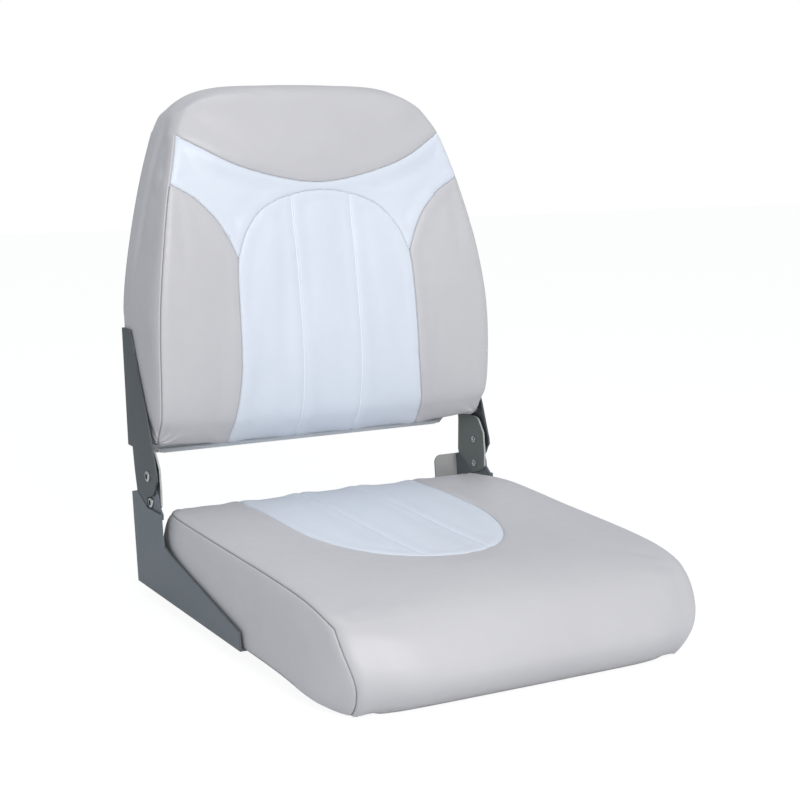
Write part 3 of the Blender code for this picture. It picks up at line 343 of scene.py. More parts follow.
def sew_panels(work, panel_of, region_of, seam_depth, piece_names, puckers):
    """Draws the cover in at its seams, and parts it into panels that keep their own thickness."""
    kind = work.faces.layers.int["kind"]
    region = work.faces.layers.int.new("region")
    panel = work.faces.layers.int.new("panel")
    regions, panels = [], []
    for face in work.faces:
        centre = face.calc_center_median()
        name = panel_of(face[kind], centre)
        part = (name, region_of(name, centre))
        if name not in panels:
            panels.append(name)
        if part not in regions:
            regions.append(part)
        face[panel] = panels.index(name)
        face[region] = regions.index(part)
    near = dict.fromkeys(v for e in work.edges if len({f[region] for f in e.link_faces}) > 1 for v in e.verts)
    bmesh.ops.remove_doubles(work, verts=list(near), dist=welding)
    white = {number for number, name in enumerate(panels) if name in ("insert", "band")}
    points, welted = seam_points(work, region, panel, white)
    tree = tree_of(points)
    on_seam = {v for e in work.edges if len({f[region] for f in e.link_faces}) > 1 for v in e.verts}
    work.normal_update()
    for vertex in work.verts:
        if vertex in on_seam:
            continue
        spot, found, distance = tree.find(vertex.co)
        if distance < 0.0036:
            away = vertex.co - spot
            away -= vertex.normal * away.dot(vertex.normal)
            if away.length > 1e-6:
                vertex.co += away.normalized() * (0.0021 + distance * 0.4167 - distance)
    for number, part in enumerate(regions):
        strip = set()
        for width in strips:
            faces = [face for face in work.faces if face[region] == number and face not in strip]
            made = bmesh.ops.inset_region(work, faces=faces, thickness=width, use_boundary=True)["faces"]
            strip = set(made)
            for face in made:
                face[region] = number
    sides = (LEFT, RIGHT)
    meetings = [v.co.copy() for v in work.verts if len({(f[region], f[kind] in sides) for f in v.link_faces}) > 2]
    knots = tree_of(meetings)
    knotted = [v for v in work.verts if knots.find(v.co)[2] < knot_reach]
    for turn in range(10):
        bmesh.ops.smooth_vert(work, verts=knotted, factor=0.5, use_axis_x=True, use_axis_y=True, use_axis_z=True)
    work.normal_update()
    # The seam layer marks where the grey vinyl paints shade into its seam grooves, and the welt layer marks where the
    # white vinyl paints a highlight along its welts.
    layers = [work.verts.layers.float.new(name) for name in ("seam", "welt")]
    moves = {}
    for vertex in work.verts:
        spot, found, distance = tree.find(vertex.co)
        if distance < 0.012:
            narrow = math.exp(-(distance / 0.0011) ** 2)
            wide = math.exp(-(distance / 0.0055) ** 2)
            vertex[layers[welted[found]]] = narrow
            gather = 1 + 0.4 * noise.noise(vertex.co * 90)
            soft = 0.35 if abs(vertex.normal.x) > 0.25 else 1
            moves[vertex] = vertex.normal * -(seam_depth * (0.45 * narrow + 0.55 * wide * gather * soft))
    for vertex, move in moves.items():
        vertex.co += move
    for corner, spread in puckers:
        for vertex in work.verts:
            away = vertex.co - corner
            distance = away.length
            if 0.001 < distance < spread:
                angle = math.atan2(away.z, away.y if abs(vertex.normal.x) > 0.6 else away.x)
                fade = (1 - distance / spread) ** 2 * min(distance / 0.008, 1)
                ripple = math.sin(9 * angle + 2.5 * noise.noise(vertex.co * 60))
                vertex.co += vertex.normal * (0.0011 * ripple * fade)
    pieces = {}
    for number, name in enumerate(panels):
        if name is None:
            continue
        part = work.copy()
        layer = part.faces.layers.int["panel"]
        bmesh.ops.delete(part, geom=[f for f in part.faces if f[layer] != number], context="FACES")
        mesh = bpy.data.meshes.new(piece_names[name])
        part.to_mesh(mesh)
        part.free()
        mesh.shade_smooth()
        item = placed(piece_names[name], mesh)
        wall = item.modifiers.new("vinyl wall", "SOLIDIFY")
        wall.thickness = vinyl_thickness
        wall.offset = -1
        pieces[name] = item
    return pieces


def new_material(name):
    """A material with its shader, a maker of linked nodes, and its links."""
    material = bpy.data.materials.new(name)
    material.use_nodes = True
    nodes, links = material.node_tree.nodes, material.node_tree.links

    def make(kind, **inputs):
        node = nodes.new(kind)
        for key, value in inputs.items():
            if key in ("operation", "data_type", "blend_type", "feature", "attribute_name", "attribute_type"):
                setattr(node, key, value)
                continue
            name = key.replace("_", " ")
            socket = next(s for s in node.inputs if s.name == name and s.enabled)
            if isinstance(value, bpy.types.NodeSocket):
                links.new(value, socket)
            else:
                socket.default_value = value
        return node

    return material, make, nodes["Principled BSDF"], links


def curve_of(make, links, value, points):
    ramp = make("ShaderNodeValToRGB", Fac=value)
    for k, (place, grey) in enumerate(points):
        if k < 2:
            element = ramp.color_ramp.elements[k]
            element.position = place
        else:
            element = ramp.color_ramp.elements.new(place)
        element.color = (grey, grey, grey, 1)
    return ramp.outputs["Color"]


def mixed(make, factor, first, second, how="MIX"):
    node = make("ShaderNodeMix", data_type="RGBA", blend_type=how)
    node.clamp_factor = True
    sockets = [s for s in node.inputs if s.enabled]
    for socket, value in zip(sockets, (factor, first, second)):
        if isinstance(value, bpy.types.NodeSocket):
            node.id_data.links.new(value, socket)
        else:
            socket.default_value = value
    return [s for s in node.outputs if s.enabled][0]


def vinyl(name, colour, shaded, painted_seam_tone, line):
    """Marine vinyl: a fine pebbled grain and a soft satin, with a line painted along its seams: painted shade in the
    grey's seam grooves and a painted highlight along the white's welts.
    """
    material, make, shader, links = new_material(name)
    place = make("ShaderNodeTexCoord").outputs["Object"]
    clouds = make("ShaderNodeTexNoise", Vector=place, Scale=7.0, Detail=3.0, Roughness=0.6)
    patches = make("ShaderNodeTexNoise", Vector=place, Scale=70.0, Detail=4.0, Roughness=0.65)
    tone = mixed(make, curve_of(make, links, clouds.outputs[0], [(0.35, 0), (0.68, 1)]), colour, shaded)
    tone = mixed(make, curve_of(make, links, patches.outputs[0], [(0.40, 0), (0.75, 0.35)]), tone, shaded)
    # The seam attribute masks a painted line along the seams: painted shade in grey seam grooves, a painted highlight
    # along white welts.
    seam = make("ShaderNodeAttribute", attribute_name=line, attribute_type="GEOMETRY")
    depth = curve_of(make, links, seam.outputs["Fac"], [(0.45, 0), (1.0, 1)])
    tone = mixed(make, depth, tone, painted_seam_tone)
    links.new(tone, shader.inputs["Base Color"])
    pebbles = make("ShaderNodeTexVoronoi", Vector=place, feature="SMOOTH_F1", Scale=950.0, Smoothness=0.35)
    fine = make("ShaderNodeTexNoise", Vector=place, Scale=2300.0, Detail=2.0)
    creases = make("ShaderNodeTexNoise", Vector=place, Scale=260.0, Detail=5.0, Roughness=0.7, Distortion=1.2)
    grain = make("ShaderNodeMath", operation="MULTIPLY_ADD")
    links.new(fine.outputs[0], grain.inputs[0])
    grain.inputs[1].default_value = 0.35
    links.new(pebbles.outputs["Distance"], grain.inputs[2])
    relief = make("ShaderNodeMath", operation="MULTIPLY_ADD")
    links.new(creases.outputs[0], relief.inputs[0])
    relief.inputs[1].default_value = 0.8
    links.new(grain.outputs[0], relief.inputs[2])
    bump = make("ShaderNodeBump", Strength=0.22, Distance=0.00035, Height=relief.outputs[0])
    links.new(bump.outputs["Normal"], shader.inputs["Normal"])
    gloss = curve_of(make, links, patches.outputs[0], [(0.3, 0.37), (0.8, 0.47)])
    links.new(gloss, shader.inputs["Roughness"])
    shader.inputs["Specular IOR Level"].default_value = 0.45
    shader.inputs["Coat Weight"].default_value = 0.08
    shader.inputs["Coat Roughness"].default_value = 0.3
    shader.inputs["Sheen Weight"].default_value = 0.06
    return material


# The last colour of each vinyl is painted along its seams: painted shade in the grey's grooves, a painted highlight
# along the white's welts.
grey_vinyl = vinyl("grey_marine_vinyl", (0.560, 0.548, 0.562, 1), (0.530, 0.518, 0.537, 1), (0.30, 0.30, 0.31, 1),
                   "seam")
white_vinyl = vinyl("white_marine_vinyl", (0.700, 0.742, 0.812, 1), (0.668, 0.712, 0.788, 1), (0.86, 0.89, 0.93, 1),
                    "welt")


def form_work(form, places):
    work = bmesh.new()
    work.from_mesh(form)
    work.verts.ensure_lookup_table()
    for vertex, place in zip(work.verts, places):
        vertex.co = Vector(place)
    return work


insert_curve = [(insert_half * math.cos(a), insert_straight + (insert_front - insert_straight) * math.sin(a))
                for a in np.radians(np.linspace(0, 180, 41))]
insert_outline = [(insert_half, -0.02)] + insert_curve + [(-insert_half, -0.02)]
seat_line = [at(x, forward, seat_top) for x, forward in insert_outline]
seat = seat_form("seat_form", 0, 0.0005, 0.015, 0.0025)


def border_points(form):
    """Points along the rim of a cushion's face, where its side panels are sewn on."""
    work = bmesh.new()
    work.from_mesh(form)
    kind = work.faces.layers.int["kind"]
    points = []
    for edge in work.edges:
        kinds = {face[kind] for face in edge.link_faces}
        if len(kinds) > 1 and kinds & {LEFT, RIGHT}:
            points += [edge.verts[0].co.copy(), (edge.verts[0].co + edge.verts[1].co) / 2]
    work.free()
    return points


def channel_reach(across):
    ratio = min(abs(across) / insert_half, 1)
    return insert_straight + (insert_front - insert_straight) * math.sqrt(1 - ratio ** 2)


def on_top(points, form):
    """Drops flat points onto the cushion's upper face."""
    tops = tree_of([Vector((v.co.x, v.co.y, 0)) for v in form.vertices if v.co.z > 0.06])
    heights = [v.co.z for v in form.vertices if v.co.z > 0.06]
    placed = []
    for point in points:
        found = tops.find(Vector((point.x, point.y, 0)))
        placed.append(Vector((point.x, point.y, heights[found[1]])))
    return placed


def thickly(points, step=0.003):
    made = []
    for first, second in zip(points, points[1:]):
        count = max(1, math.ceil((second - first).length / step))
        made += [first.lerp(second, k / count) for k in range(count)]
    return made + [points[-1]]


channel_lines = [[at(side * channel_across, 0.02, 0), at(side * channel_across, channel_reach(channel_across), 0)]
                 for side in (-1, 1)]
seat_seams = on_top(thickly([at(x, max(f, 0.02), 0) for x, f in insert_outline]), seat)
for line in channel_lines:
    seat_seams += on_top(thickly(line), seat)
seat_seams += border_points(seat)


def eased_step(value, start, end):
    share = min(max((value - start) / (end - start), 0), 1)
    return share * share * (3 - 2 * share)


def seat_held(place, normal):
    """How firmly the cover lies against the base and the brackets, from 0 to 1."""
    return max(eased_step(abs(normal.x), 0.45, 0.85), eased_step(-place.z, -0.055, -0.025))


seat_places = stuff(seat, tree_of(seat_seams), 0.0045, seat_held)
seat_places[:, 0] = np.clip(seat_places[:, 0], -0.2369, 0.2369)
work = form_work(seat, seat_places)
top = {FACE, FIRST_END}
cut_line(work, seat_line, 2, top)
for line in channel_lines:
    reach = [at(line[0].x, -0.02, 0), line[1]]
    cut_line(work, reach, 2, top)
flap_edge = base_front + 0.0012
flap_half = 0.184
rear_edge = base_top + 0.0035
cut_line(work, [at(-seat_half, flap_edge, 0), at(seat_half, flap_edge, 0)], 2, {FLOOR})
for across in (-flap_half, flap_half):
    cut_line(work, [at(across, flap_edge, 0), at(across, 0.540, 0)], 2, {FLOOR})
cut_line(work, [at(-seat_half, 0, rear_edge), at(seat_half, 0, rear_edge)], 1, {FIRST_END})


def seat_panel(kind, centre):
    forward = bracket_rear - centre.y
    if kind == FLOOR:
        return "border" if forward > flap_edge and abs(centre.x) < flap_half else None
    if kind == FIRST_END and centre.z < rear_edge:
        return None
    if kind in (LEFT, RIGHT):
        return "left" if kind == LEFT else "right"
    return "insert" if kind in top and inside(insert_outline, (centre.x, forward)) else "border"


def flute(name, centre):
    return int((centre.x > -channel_across) + (centre.x > channel_across)) if name == "insert" else 0


seat_pieces = sew_panels(work, seat_panel, flute, 0.0026,
                         {"border": "seat_cover_border", "insert": "seat_cover_white_insert",
                          "left": "seat_cover_left_side", "right": "seat_cover_right_side"},
                         [(at(side * 0.216, 0.060, 0.097), 0.050) for side in (-1, 1)])
work.free()
for name, nodes in (("border", ["seat_cover_main"]), ("insert", ["seat_cover_insert"]),
                    ("left", ["seat_cover_side_left"]), ("right", ["seat_cover_side_right"])):
    piece = seat_pieces[name]
    white = name == "insert"
    piece.data.materials.append(white_vinyl if white else grey_vinyl)
    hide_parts(*nodes)
    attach(piece, "seat")

# Foam blocks: open-cell foam, cut and sanded to the cushion's shape and glued to its base. They are
# wrapped all over by the covers.
foam, make, shader, links = new_material("cut_foam")
place = make("ShaderNodeTexCoord").outputs["Object"]
cells = make("ShaderNodeTexVoronoi", Vector=place, Scale=900.0)
clouds = make("ShaderNodeTexNoise", Vector=place, Scale=12.0, Detail=4.0)
links.new(mixed(make, clouds.outputs[0], (0.80, 0.74, 0.52, 1), (0.72, 0.64, 0.42, 1)), shader.inputs["Base Color"])
bump = make("ShaderNodeBump", Strength=0.6, Distance=0.0005, Height=cells.outputs["Distance"])
links.new(bump.outputs["Normal"], shader.inputs["Normal"])
shader.inputs["Roughness"].default_value = 0.95


def foam_block(name, form, node, body):
    form.materials.clear()
    form.materials.append(foam)
    form.shade_smooth()
    form.name = name
    item = placed(name, form)
    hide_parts(node)
    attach(item, body)


foam_block("seat_foam_block", seat_form("seat_foam_form", 0.0115, 0.0123, 0, 0), "seat_foam", "seat")

# Back cushion: foam on the moulded panel, under a cover of five panels. A grey piece wraps the
# headrest, the top and the sides; a white band and a white insert with two sewn channels are let in
# below it, between two grey bolsters.
back_low, back_front_top, back_high = 0.1745, 0.602, 0.6225
hem_gap = 0.0003
back_deep = 0.0825
back_half = 0.2365
lean = 0.0757
flange_forward, flange_height = -0.0232, 0.1725
plate = 0.0025
panel_front = 0.0131
# Each row from bottom to top: place along, depth at the middle and at the seam, half-width at the
# seam and at the rear.
back_rows = [(0.005, 0.61, 0.67, 0.980, 0.972), (0.052, 0.82, 0.79, 0.986, 0.982),
             (0.112, 0.95, 0.94, 0.992, 0.995), (0.240, 1.00, 0.98, 0.995, 0.999),
             (0.394, 0.91, 0.94, 0.986, 1.004), (0.571, 0.745, 0.80, 0.943, 0.958),
             (0.724, 0.58, 0.60, 0.885, 0.896), (0.830, 0.565, 0.45, 0.832, 0.842),
             (0.913, 0.44, 0.29, 0.790, 0.793), (1.0, 0.22, 0.13, 0.758, 0.758)]
back_columns = mirrored([0, 0.0628, insert_half, 0.1755, 0.2145, back_half])


def rear_place(height, depth):
    return flange_forward - (height - flange_height) * lean + depth * math.sqrt(1 + lean ** 2)


def back_form(name, inset, rim_depth, crown):
    last = len(back_rows) - 1
    low, high = back_low + inset, back_front_top - inset

    def face_place(column, row):
        along, middle_deep, seam_deep, wide = back_rows[row][:4]
        across = across_at(back_columns[column], back_half, back_half * wide - inset)
        reach = abs(back_columns[column]) / back_half
        height = low + along * (high - low)
        height += 0.009 * reach ** 4 * max(0, 1 - along * 8)
        height -= 0.0212 * reach ** 4.6 * along ** 16
        forward = back_deep * (middle_deep + (seam_deep - middle_deep) * reach ** 2) - inset
        if reach == 1:
            across -= math.copysign(0.0025, across)
            forward -= 0.0025
        elif abs(back_columns[column]) > insert_half and along < 0.7:
            forward += crown
        return at(across, forward, height)

    def rear_of(share, outward, rise, width_share):
        def place(column, row):
            start = face_place(column, row)
            seam, rear = back_rows[row][3:5]
            width = back_half * (seam + (rear - seam) * outward) * width_share - inset
            height = start.z
            lift = {last: 1 - 0.835 * (abs(back_columns[column]) / back_half) ** 2, last - 1: 0.01, last - 2: 0.035}
            height += (back_high - back_front_top) * rise * lift.get(row, 0)
            if row == 0:
                height -= 0.0012 * outward
            front = bracket_rear - start.y
            behind = rear_place(height, rim_depth)
            across = across_at(back_columns[column], back_half, width)
            return at(across, front + (behind - front) * share, height)

        return place

    places = [face_place, rear_of(0.20, 0.6, 0.75, 1.004), rear_of(0.55, 1.2, 1.0, 1), rear_of(1.0, 1.0, 0.45, 1)]
    return cushion_form(name, len(back_columns), len(back_rows), places, 7)


def round_head(form, middle=0.50, spread=8.0):
    """Eases the headrest's outline, seen from the front, into one round line."""
    places = np.empty(len(form.vertices) * 3)
    form.vertices.foreach_get("co", places)
    places = places.reshape(-1, 3)
    ends = np.empty(len(form.edges) * 2, dtype=int)
    form.edges.foreach_get("vertices", ends)
    first, second = places[ends[0::2]], places[ends[1::2]]
    dense = np.concatenate([first + (second - first) * share for share in np.arange(0, 1, 0.2)])
    dense = dense[dense[:, 2] > middle]
    degrees = np.arange(-90, 91)
    rim = np.zeros(len(degrees))
    turn = np.degrees(np.arctan2(dense[:, 0], dense[:, 2] - middle))
    np.maximum.at(rim, np.round(turn).astype(int) + 90, np.hypot(dense[:, 0], dense[:, 2] - middle))
    rim = np.interp(degrees, degrees[rim > 0], rim[rim > 0])
    bell = np.exp(-0.5 * (np.arange(-20, 21) / spread) ** 2)
    bell /= bell.sum()

    def softened(values):
        return np.convolve(np.pad(values, 20, mode="reflect", reflect_type="odd"), bell, "valid")

    soft = softened(rim)
    soft += softened(rim - soft)
    ratio = 1 + (soft / rim - 1) * np.clip((90 - np.abs(degrees)) / 20, 0, 1)
    rise = places[:, 2] - middle
    turn, reach = np.degrees(np.arctan2(places[:, 0], rise)), np.hypot(places[:, 0], rise)
    share = np.clip((reach / np.interp(turn, degrees, rim) - 0.45) / 0.45, 0, 1)
    share *= share * (3 - 2 * share)
    scale = np.where(rise > 0, 1 + (np.interp(turn, degrees, ratio) - 1) * share, 1)
    places[:, 0] *= scale
    places[:, 2] = middle + rise * scale
    form.vertices.foreach_set("co", places.ravel())
    form.update()


def back_line(places, both=True):
    right = [at(x, 0, z) for x, z in places]
    if not both:
        return right
    left = [at(-x, 0, z) for x, z in places if x > 0]
    return left[::-1] + right if places[0][0] == 0 else right + left[::-1]


def eased(points, count=4):
    """A smooth line through flat points."""
    made = []
    for k in range(len(points) - 1):
        before = points[max(k - 1, 0)]
        first, second = points[k], points[k + 1]
        after = points[min(k + 2, len(points) - 1)]
        for step in range(count):
            t = step / count
            made.append(tuple(0.5 * (2 * b + (c - a) * t + (2 * a - 5 * b + 4 * c - d) * t ** 2
                                     + (3 * b - a - 3 * c + d) * t ** 3)
                              for a, b, c, d in zip(before, first, second, after)))
    return made + [points[-1]]


head_seam = eased([(0.0, 0.500), (0.031, 0.5025), (0.068, 0.510), (0.1035, 0.520), (0.128, 0.530), (0.1475, 0.540),
                   (0.1655, 0.550), (0.183, 0.5595), (0.190, 0.5635)])
head_seam[0] = (0.0, 0.500)
wing_seam = eased([(0.1205, 0.408), (0.1249, 0.420), (0.1339, 0.440), (0.1464, 0.460), (0.1657, 0.480),
                   (0.179, 0.490), (0.202, 0.5025), (0.2176, 0.510)])
insert_seam = eased([(0.1360, 0.130), (0.1347, 0.190), (0.1288, 0.240), (0.1255, 0.280), (0.1240, 0.360),
                     (0.1220, 0.400), (0.1167, 0.420), (0.1078, 0.440), (0.0925, 0.460), (0.0770, 0.472),
                     (0.0539, 0.482), (0.0260, 0.4885), (0.0, 0.4905)])
insert_seam[-1] = (0.0, 0.4905)
head_line, insert_line = back_line(head_seam), back_line(insert_seam)
wing_lines = [back_line([(side * x, z) for x, z in wing_seam], False) for side in (-1, 1)]
back_channels = [[at(side * channel_across, 0, 0.16), at(side * channel_across, 0, 0.4855)] for side in (-1, 1)]
back = back_form("back_form", 0, plate + hem_gap, 0.0025)
round_head(back)


def on_front(points, form):
    fronts = [v for v in form.vertices if v.co.y < bracket_rear - 0.010]
    tree = tree_of([Vector((v.co.x, 0, v.co.z)) for v in fronts])
    return [Vector((p.x, fronts[tree.find(Vector((p.x, 0, p.z)))[1]].co.y, p.z)) for p in points]


back_seams = border_points(back)
for line in [head_line, insert_line] + wing_lines + back_channels:
    back_seams += on_front([p for p in thickly(line) if p.z > back_low + 0.004], back)


def back_held(place, normal):
    forward = bracket_rear - place.y
    beside_arm = eased_step(abs(normal.x), 0.45, 0.85) * eased_step(-place.z, -0.450, -0.360)
    return max(beside_arm, eased_step(rear_place(place.z, 0) - forward, -0.045, -0.025))


back_places = stuff(back, tree_of(back_seams), 0.0050, back_held)
room = 0.2370 + 0.02 * np.clip((back_places[:, 2] - 0.330) / 0.08, 0, 1) ** 2
back_places[:, 0] = np.clip(back_places[:, 0], -room, room)
work = form_work(back, back_places)
front = {FACE, FIRST_END}
cut_line(work, head_line, 1, {FACE})
cut_line(work, insert_line, 1, front)
for line in wing_lines:
    cut_line(work, line, 1, {FACE})
for line in back_channels:
    cut_line(work, line, 1, front)
rear_line = [at(0, rear_place(height, panel_front + hem_gap), height) for height in (0.160, back_front_top)]
cut_line(work, rear_line, 0, {FIRST_END})
shoulders = [vertex for vertex in work.verts if vertex.co.z > 0.563]
for turn in range(8):
    bmesh.ops.smooth_vert(work, verts=shoulders, factor=0.5, use_axis_x=True, use_axis_y=True, use_axis_z=True)
head_shape = [(p.x, p.z) for p in head_line]
insert_shape = [(p.x, p.z) for p in insert_line]
panel_sides = [(0.2189, 0.173), (0.2212, 0.200), (0.2243, 0.227), (0.2253, 0.280), (0.2253, 0.345),
               (0.2156, 0.420), (0.2009, 0.485), (0.1869, 0.530), (0.1739, 0.565)]
panel_top = [(0.1545 * (1 - k / 4), 0.5985 - 0.020 * (1 - k / 4) ** 3) for k in range(5)]
hem = [(x + 0.0009, z) for x, z in panel_sides] + [(x + 0.0006 * (x > 0), z + 0.0009) for x, z in panel_top]
hem_line = back_line(hem[::-1])
hem_shape = [(p.x, p.z) for p in hem_line]
hem_shape = [(hem_shape[0][0], 0.150)] + hem_shape + [(hem_shape[-1][0], 0.150)]
cut_line(work, hem_line, 1, {FLOOR})


def back_panel_of(kind, centre):
    height = centre.z
    behind = bracket_rear - centre.y < rear_place(height, panel_front + hem_gap)
    if kind == FLOOR:
        return None if inside(hem_shape, (centre.x, height)) else "head"
    if kind == FIRST_END and behind:
        return None
    if kind in (LEFT, RIGHT, LAST_END):
        return "head"
    if kind == FACE and height > np.interp(centre.x, *zip(*head_shape)):
        return "head"
    if inside(insert_shape, (centre.x, height)):
        return "insert"
    if height > np.interp(abs(centre.x), *zip(*wing_seam)):
        return "band"
    return "left" if centre.x < 0 else "right"


back_pieces = sew_panels(work, back_panel_of, flute, 0.0026,
                         {"head": "back_cover_headrest", "band": "back_cover_white_band",
                          "insert": "back_cover_white_insert", "left": "back_cover_left_bolster",
                          "right": "back_cover_right_bolster"},
                         [(at(side * 0.228, 0.056, 0.186), 0.045) for side in (-1, 1)])
work.free()
for name, nodes in (("head", ["back_cover_head"]), ("band", ["back_cover_band"]), ("insert", ["back_cover_insert"]),
                    ("left", ["back_cover_bolster_left"]), ("right", ["back_cover_bolster_right"])):
    piece = back_pieces[name]
    white = name in ("insert", "band")
    piece.data.materials.append(white_vinyl if white else grey_vinyl)
    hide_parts(*nodes)
    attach(piece, "back")
foam_block("back_foam_block", back_form("back_foam_form", 0.0115, panel_front, 0), "back_foam", "back")

# Moulded base and back panel: injection-moulded plastic with a fine spark texture, the base let in
# for the bracket flanges and the panel's lower lip showing under the back cushion.
def plastic(name, colour, shaded):
    material, make, shader, links = new_material(name)
    place = make("ShaderNodeTexCoord").outputs["Object"]
    flow = make("ShaderNodeTexNoise", Vector=place, Scale=9.0, Detail=4.0)
    links.new(mixed(make, flow.outputs[0], colour, shaded), shader.inputs["Base Color"])
    spark = make("ShaderNodeTexNoise", Vector=place, Scale=1900.0, Detail=3.0, Roughness=0.7)
    bump = make("ShaderNodeBump", Strength=0.35, Distance=0.0003, Height=spark.outputs[0])
    links.new(bump.outputs["Normal"], shader.inputs["Normal"])
    links.new(curve_of(make, links, flow.outputs[0], [(0.3, 0.48), (0.7, 0.60)]), shader.inputs["Roughness"])
    return material


moulded = plastic("moulded_plastic", (0.62, 0.64, 0.66, 1), (0.56, 0.58, 0.61, 1))
# The lip's plastic is painted light: far paler than the moulded plastic, to show through the cushion's shadow over
# it.
lip_plastic_painted_light = plastic("moulded_lip_painted_light", (0.86, 0.88, 0.89, 1), (0.80, 0.82, 0.84, 1))


def dress(node, material, rounding):
    """Gives a carried-over piece its finish and eases its sharp edges."""
    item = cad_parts[node]
    item.data.materials.clear()
    item.data.materials.append(material)
    weld = item.modifiers.new("weld", "WELD")
    weld.merge_threshold = 0.00001
    if rounding:
        bevel = item.modifiers.new("eased edges", "BEVEL")
        bevel.width = rounding
        bevel.segments = 2
        bevel.limit_method = "ANGLE"
        bevel.angle_limit = math.radians(40)
        bevel.harden_normals = False
    return item


dress("seat_base", moulded, 0)
dress("back_panel", moulded, 0.0009)

# Lip of the back panel: a half-round bead moulded along its lower edge. Its plastic is painted far paler than
# the panel's, painted light that keeps it a pale line in the shadow under the back cushion.
work = bmesh.new()
up_slope = Vector((0, lean, 1)).normalized()
out_slope = Vector((0, -1, lean)).normalized()
foot_height = 0.1600
lip_half, lip_end, lip_steps = 0.2105, 0.010, 60
lip_rings = []
for step in range(lip_steps + 1):
    across = -lip_half + 2 * lip_half * step / lip_steps
    end = min(1, (lip_half - abs(across)) / lip_end + 0.15)
    corner = max(0, abs(across) - lip_half + lip_end) ** 2 / 0.02
    middle = at(across, rear_place(foot_height, 0.0150), foot_height) + up_slope * (0.0032 + corner)
    lip_rings.append([work.verts.new(middle + (up_slope * math.sin(a) + out_slope * math.cos(a)) * 0.0031 * end)
                      for a in np.radians(np.linspace(-90, 270, 15)[:-1])])
for first, second in zip(lip_rings, lip_rings[1:]):
    for k in range(14):
        work.faces.new((first[k], first[(k + 1) % 14], second[(k + 1) % 14], second[k]))
for ring in (lip_rings[0], lip_rings[-1]):
    work.faces.new(ring)
bmesh.ops.recalc_face_normals(work, faces=work.faces)
mesh = bpy.data.meshes.new("back_panel_lip")
work.to_mesh(mesh)
work.free()
mesh.shade_smooth()
mesh.materials.append(lip_plastic_painted_light)
lip = placed("back_panel_lip", mesh)
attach(lip, "back")

# Hinge plates: pressed steel, 2.5 mm thick, with a satin dark grey powder coat worn a little lighter in fine
# flecks. A bracket at each side of the seat, an arm at each side of the back and a link between them. The
# links' rims are painted a pale steel colour, partly bare sheared steel and partly a painted highlight along
# their edges. The brackets' rear flanges are left bare.
def coated(name, colour, worn):
    material, make, shader, links = new_material(name)
    place = make("ShaderNodeTexCoord").outputs["Object"]
    broad = make("ShaderNodeTexNoise", Vector=place, Scale=14.0, Detail=5.0, Roughness=0.6)
    specks = make("ShaderNodeTexNoise", Vector=place, Scale=1300.0, Detail=2.0)
    dull = tuple(0.84 * value for value in colour[:3]) + (1,)
    tone = mixed(make, curve_of(make, links, broad.outputs[0], [(0.35, 0), (0.7, 1)]), dull, colour)
    tone = mixed(make, curve_of(make, links, specks.outputs[0], [(0.60, 0), (0.72, 0.45)]), tone, worn)
    links.new(tone, shader.inputs["Base Color"])
    peel = make("ShaderNodeTexNoise", Vector=place, Scale=620.0, Detail=2.0, Roughness=0.5)
    bump = make("ShaderNodeBump", Strength=0.30, Distance=0.0003, Height=peel.outputs[0])
    links.new(bump.outputs["Normal"], shader.inputs["Normal"])
    links.new(curve_of(make, links, broad.outputs[0], [(0.3, 0.38), (0.7, 0.50)]), shader.inputs["Roughness"])
    shader.inputs["Metallic"].default_value = 0.15
    return material


def rim_of(item, picked, material):
    """Gives some faces of a piece a material of their own: a bare finish on the brackets' flanges, a pale colour on
    the links' rims that is partly a painted highlight, and painted shade in the rivets' bores.
    """
    item.data.materials.append(material)
    for face in item.data.polygons:
        if picked(face):
            face.material_index = 1


painted = coated("powder_coated_steel", (0.145, 0.168, 0.185, 1), (0.24, 0.26, 0.27, 1))
# The arms take a darker copy of the brackets' powder coat. This is painted shade that makes them read darker than the
# brackets.
arm_coat_painted_shade = coated("powder_coated_arm_painted_shade", (0.078, 0.092, 0.099, 1), (0.20, 0.22, 0.23, 1))
link_paint = coated("grey_green_coated_link", (0.165, 0.188, 0.172, 1), (0.27, 0.29, 0.28, 1))
bare_steel_and_rim_highlight = coated("bare_steel_and_painted_rim_highlight", (0.56, 0.56, 0.55, 1), (0.66, 0.66, 0.65, 1))
for side in ("left", "right"):
    bracket = dress("seat_bracket_" + side, painted, 0.0005)
    rim_of(bracket, lambda face: face.normal.y < -0.9 and face.center.y > 0.280 and abs(face.center.x) < 0.2365, bare_steel_and_rim_highlight)
    dress("back_arm_" + side, arm_coat_painted_shade, 0.0005)
    link = dress("hinge_link_" + side, link_paint, 0.0005)
    # The links' rims take the pale steel colour, partly bare steel and partly a painted highlight along their edges.
    rim_of(link, lambda face: abs(face.normal.x) < 0.5, bare_steel_and_rim_highlight)

# Rivets, spacers, screws and nuts: zinc-plated steel, bright with fine turning marks. The rivets are
# tubular, with a rolled rim outside and their ends spread over inside.
plated, make, shader, links = new_material("zinc_plated_steel")
place = make("ShaderNodeTexCoord").outputs["Object"]
stains = make("ShaderNodeTexNoise", Vector=place, Scale=260.0, Detail=5.0)
tone = mixed(make, stains.outputs[0], (0.66, 0.66, 0.64, 1), (0.50, 0.51, 0.50, 1))
links.new(tone, shader.inputs["Base Color"])
marks = make("ShaderNodeTexNoise", Vector=place, Scale=2600.0, Detail=2.0)
bump = make("ShaderNodeBump", Strength=0.15, Distance=0.0001, Height=marks.outputs[0])
links.new(bump.outputs["Normal"], shader.inputs["Normal"])
links.new(curve_of(make, links, stains.outputs[0], [(0.3, 0.24), (0.7, 0.40)]), shader.inputs["Roughness"])
shader.inputs["Metallic"].default_value = 1.0
# The rivets' hollows take a near-black coat: painted shade for the shadow inside them.
bore_painted_shade = coated("rivet_bore_painted_shade", (0.045, 0.047, 0.046, 1), (0.10, 0.10, 0.10, 1))


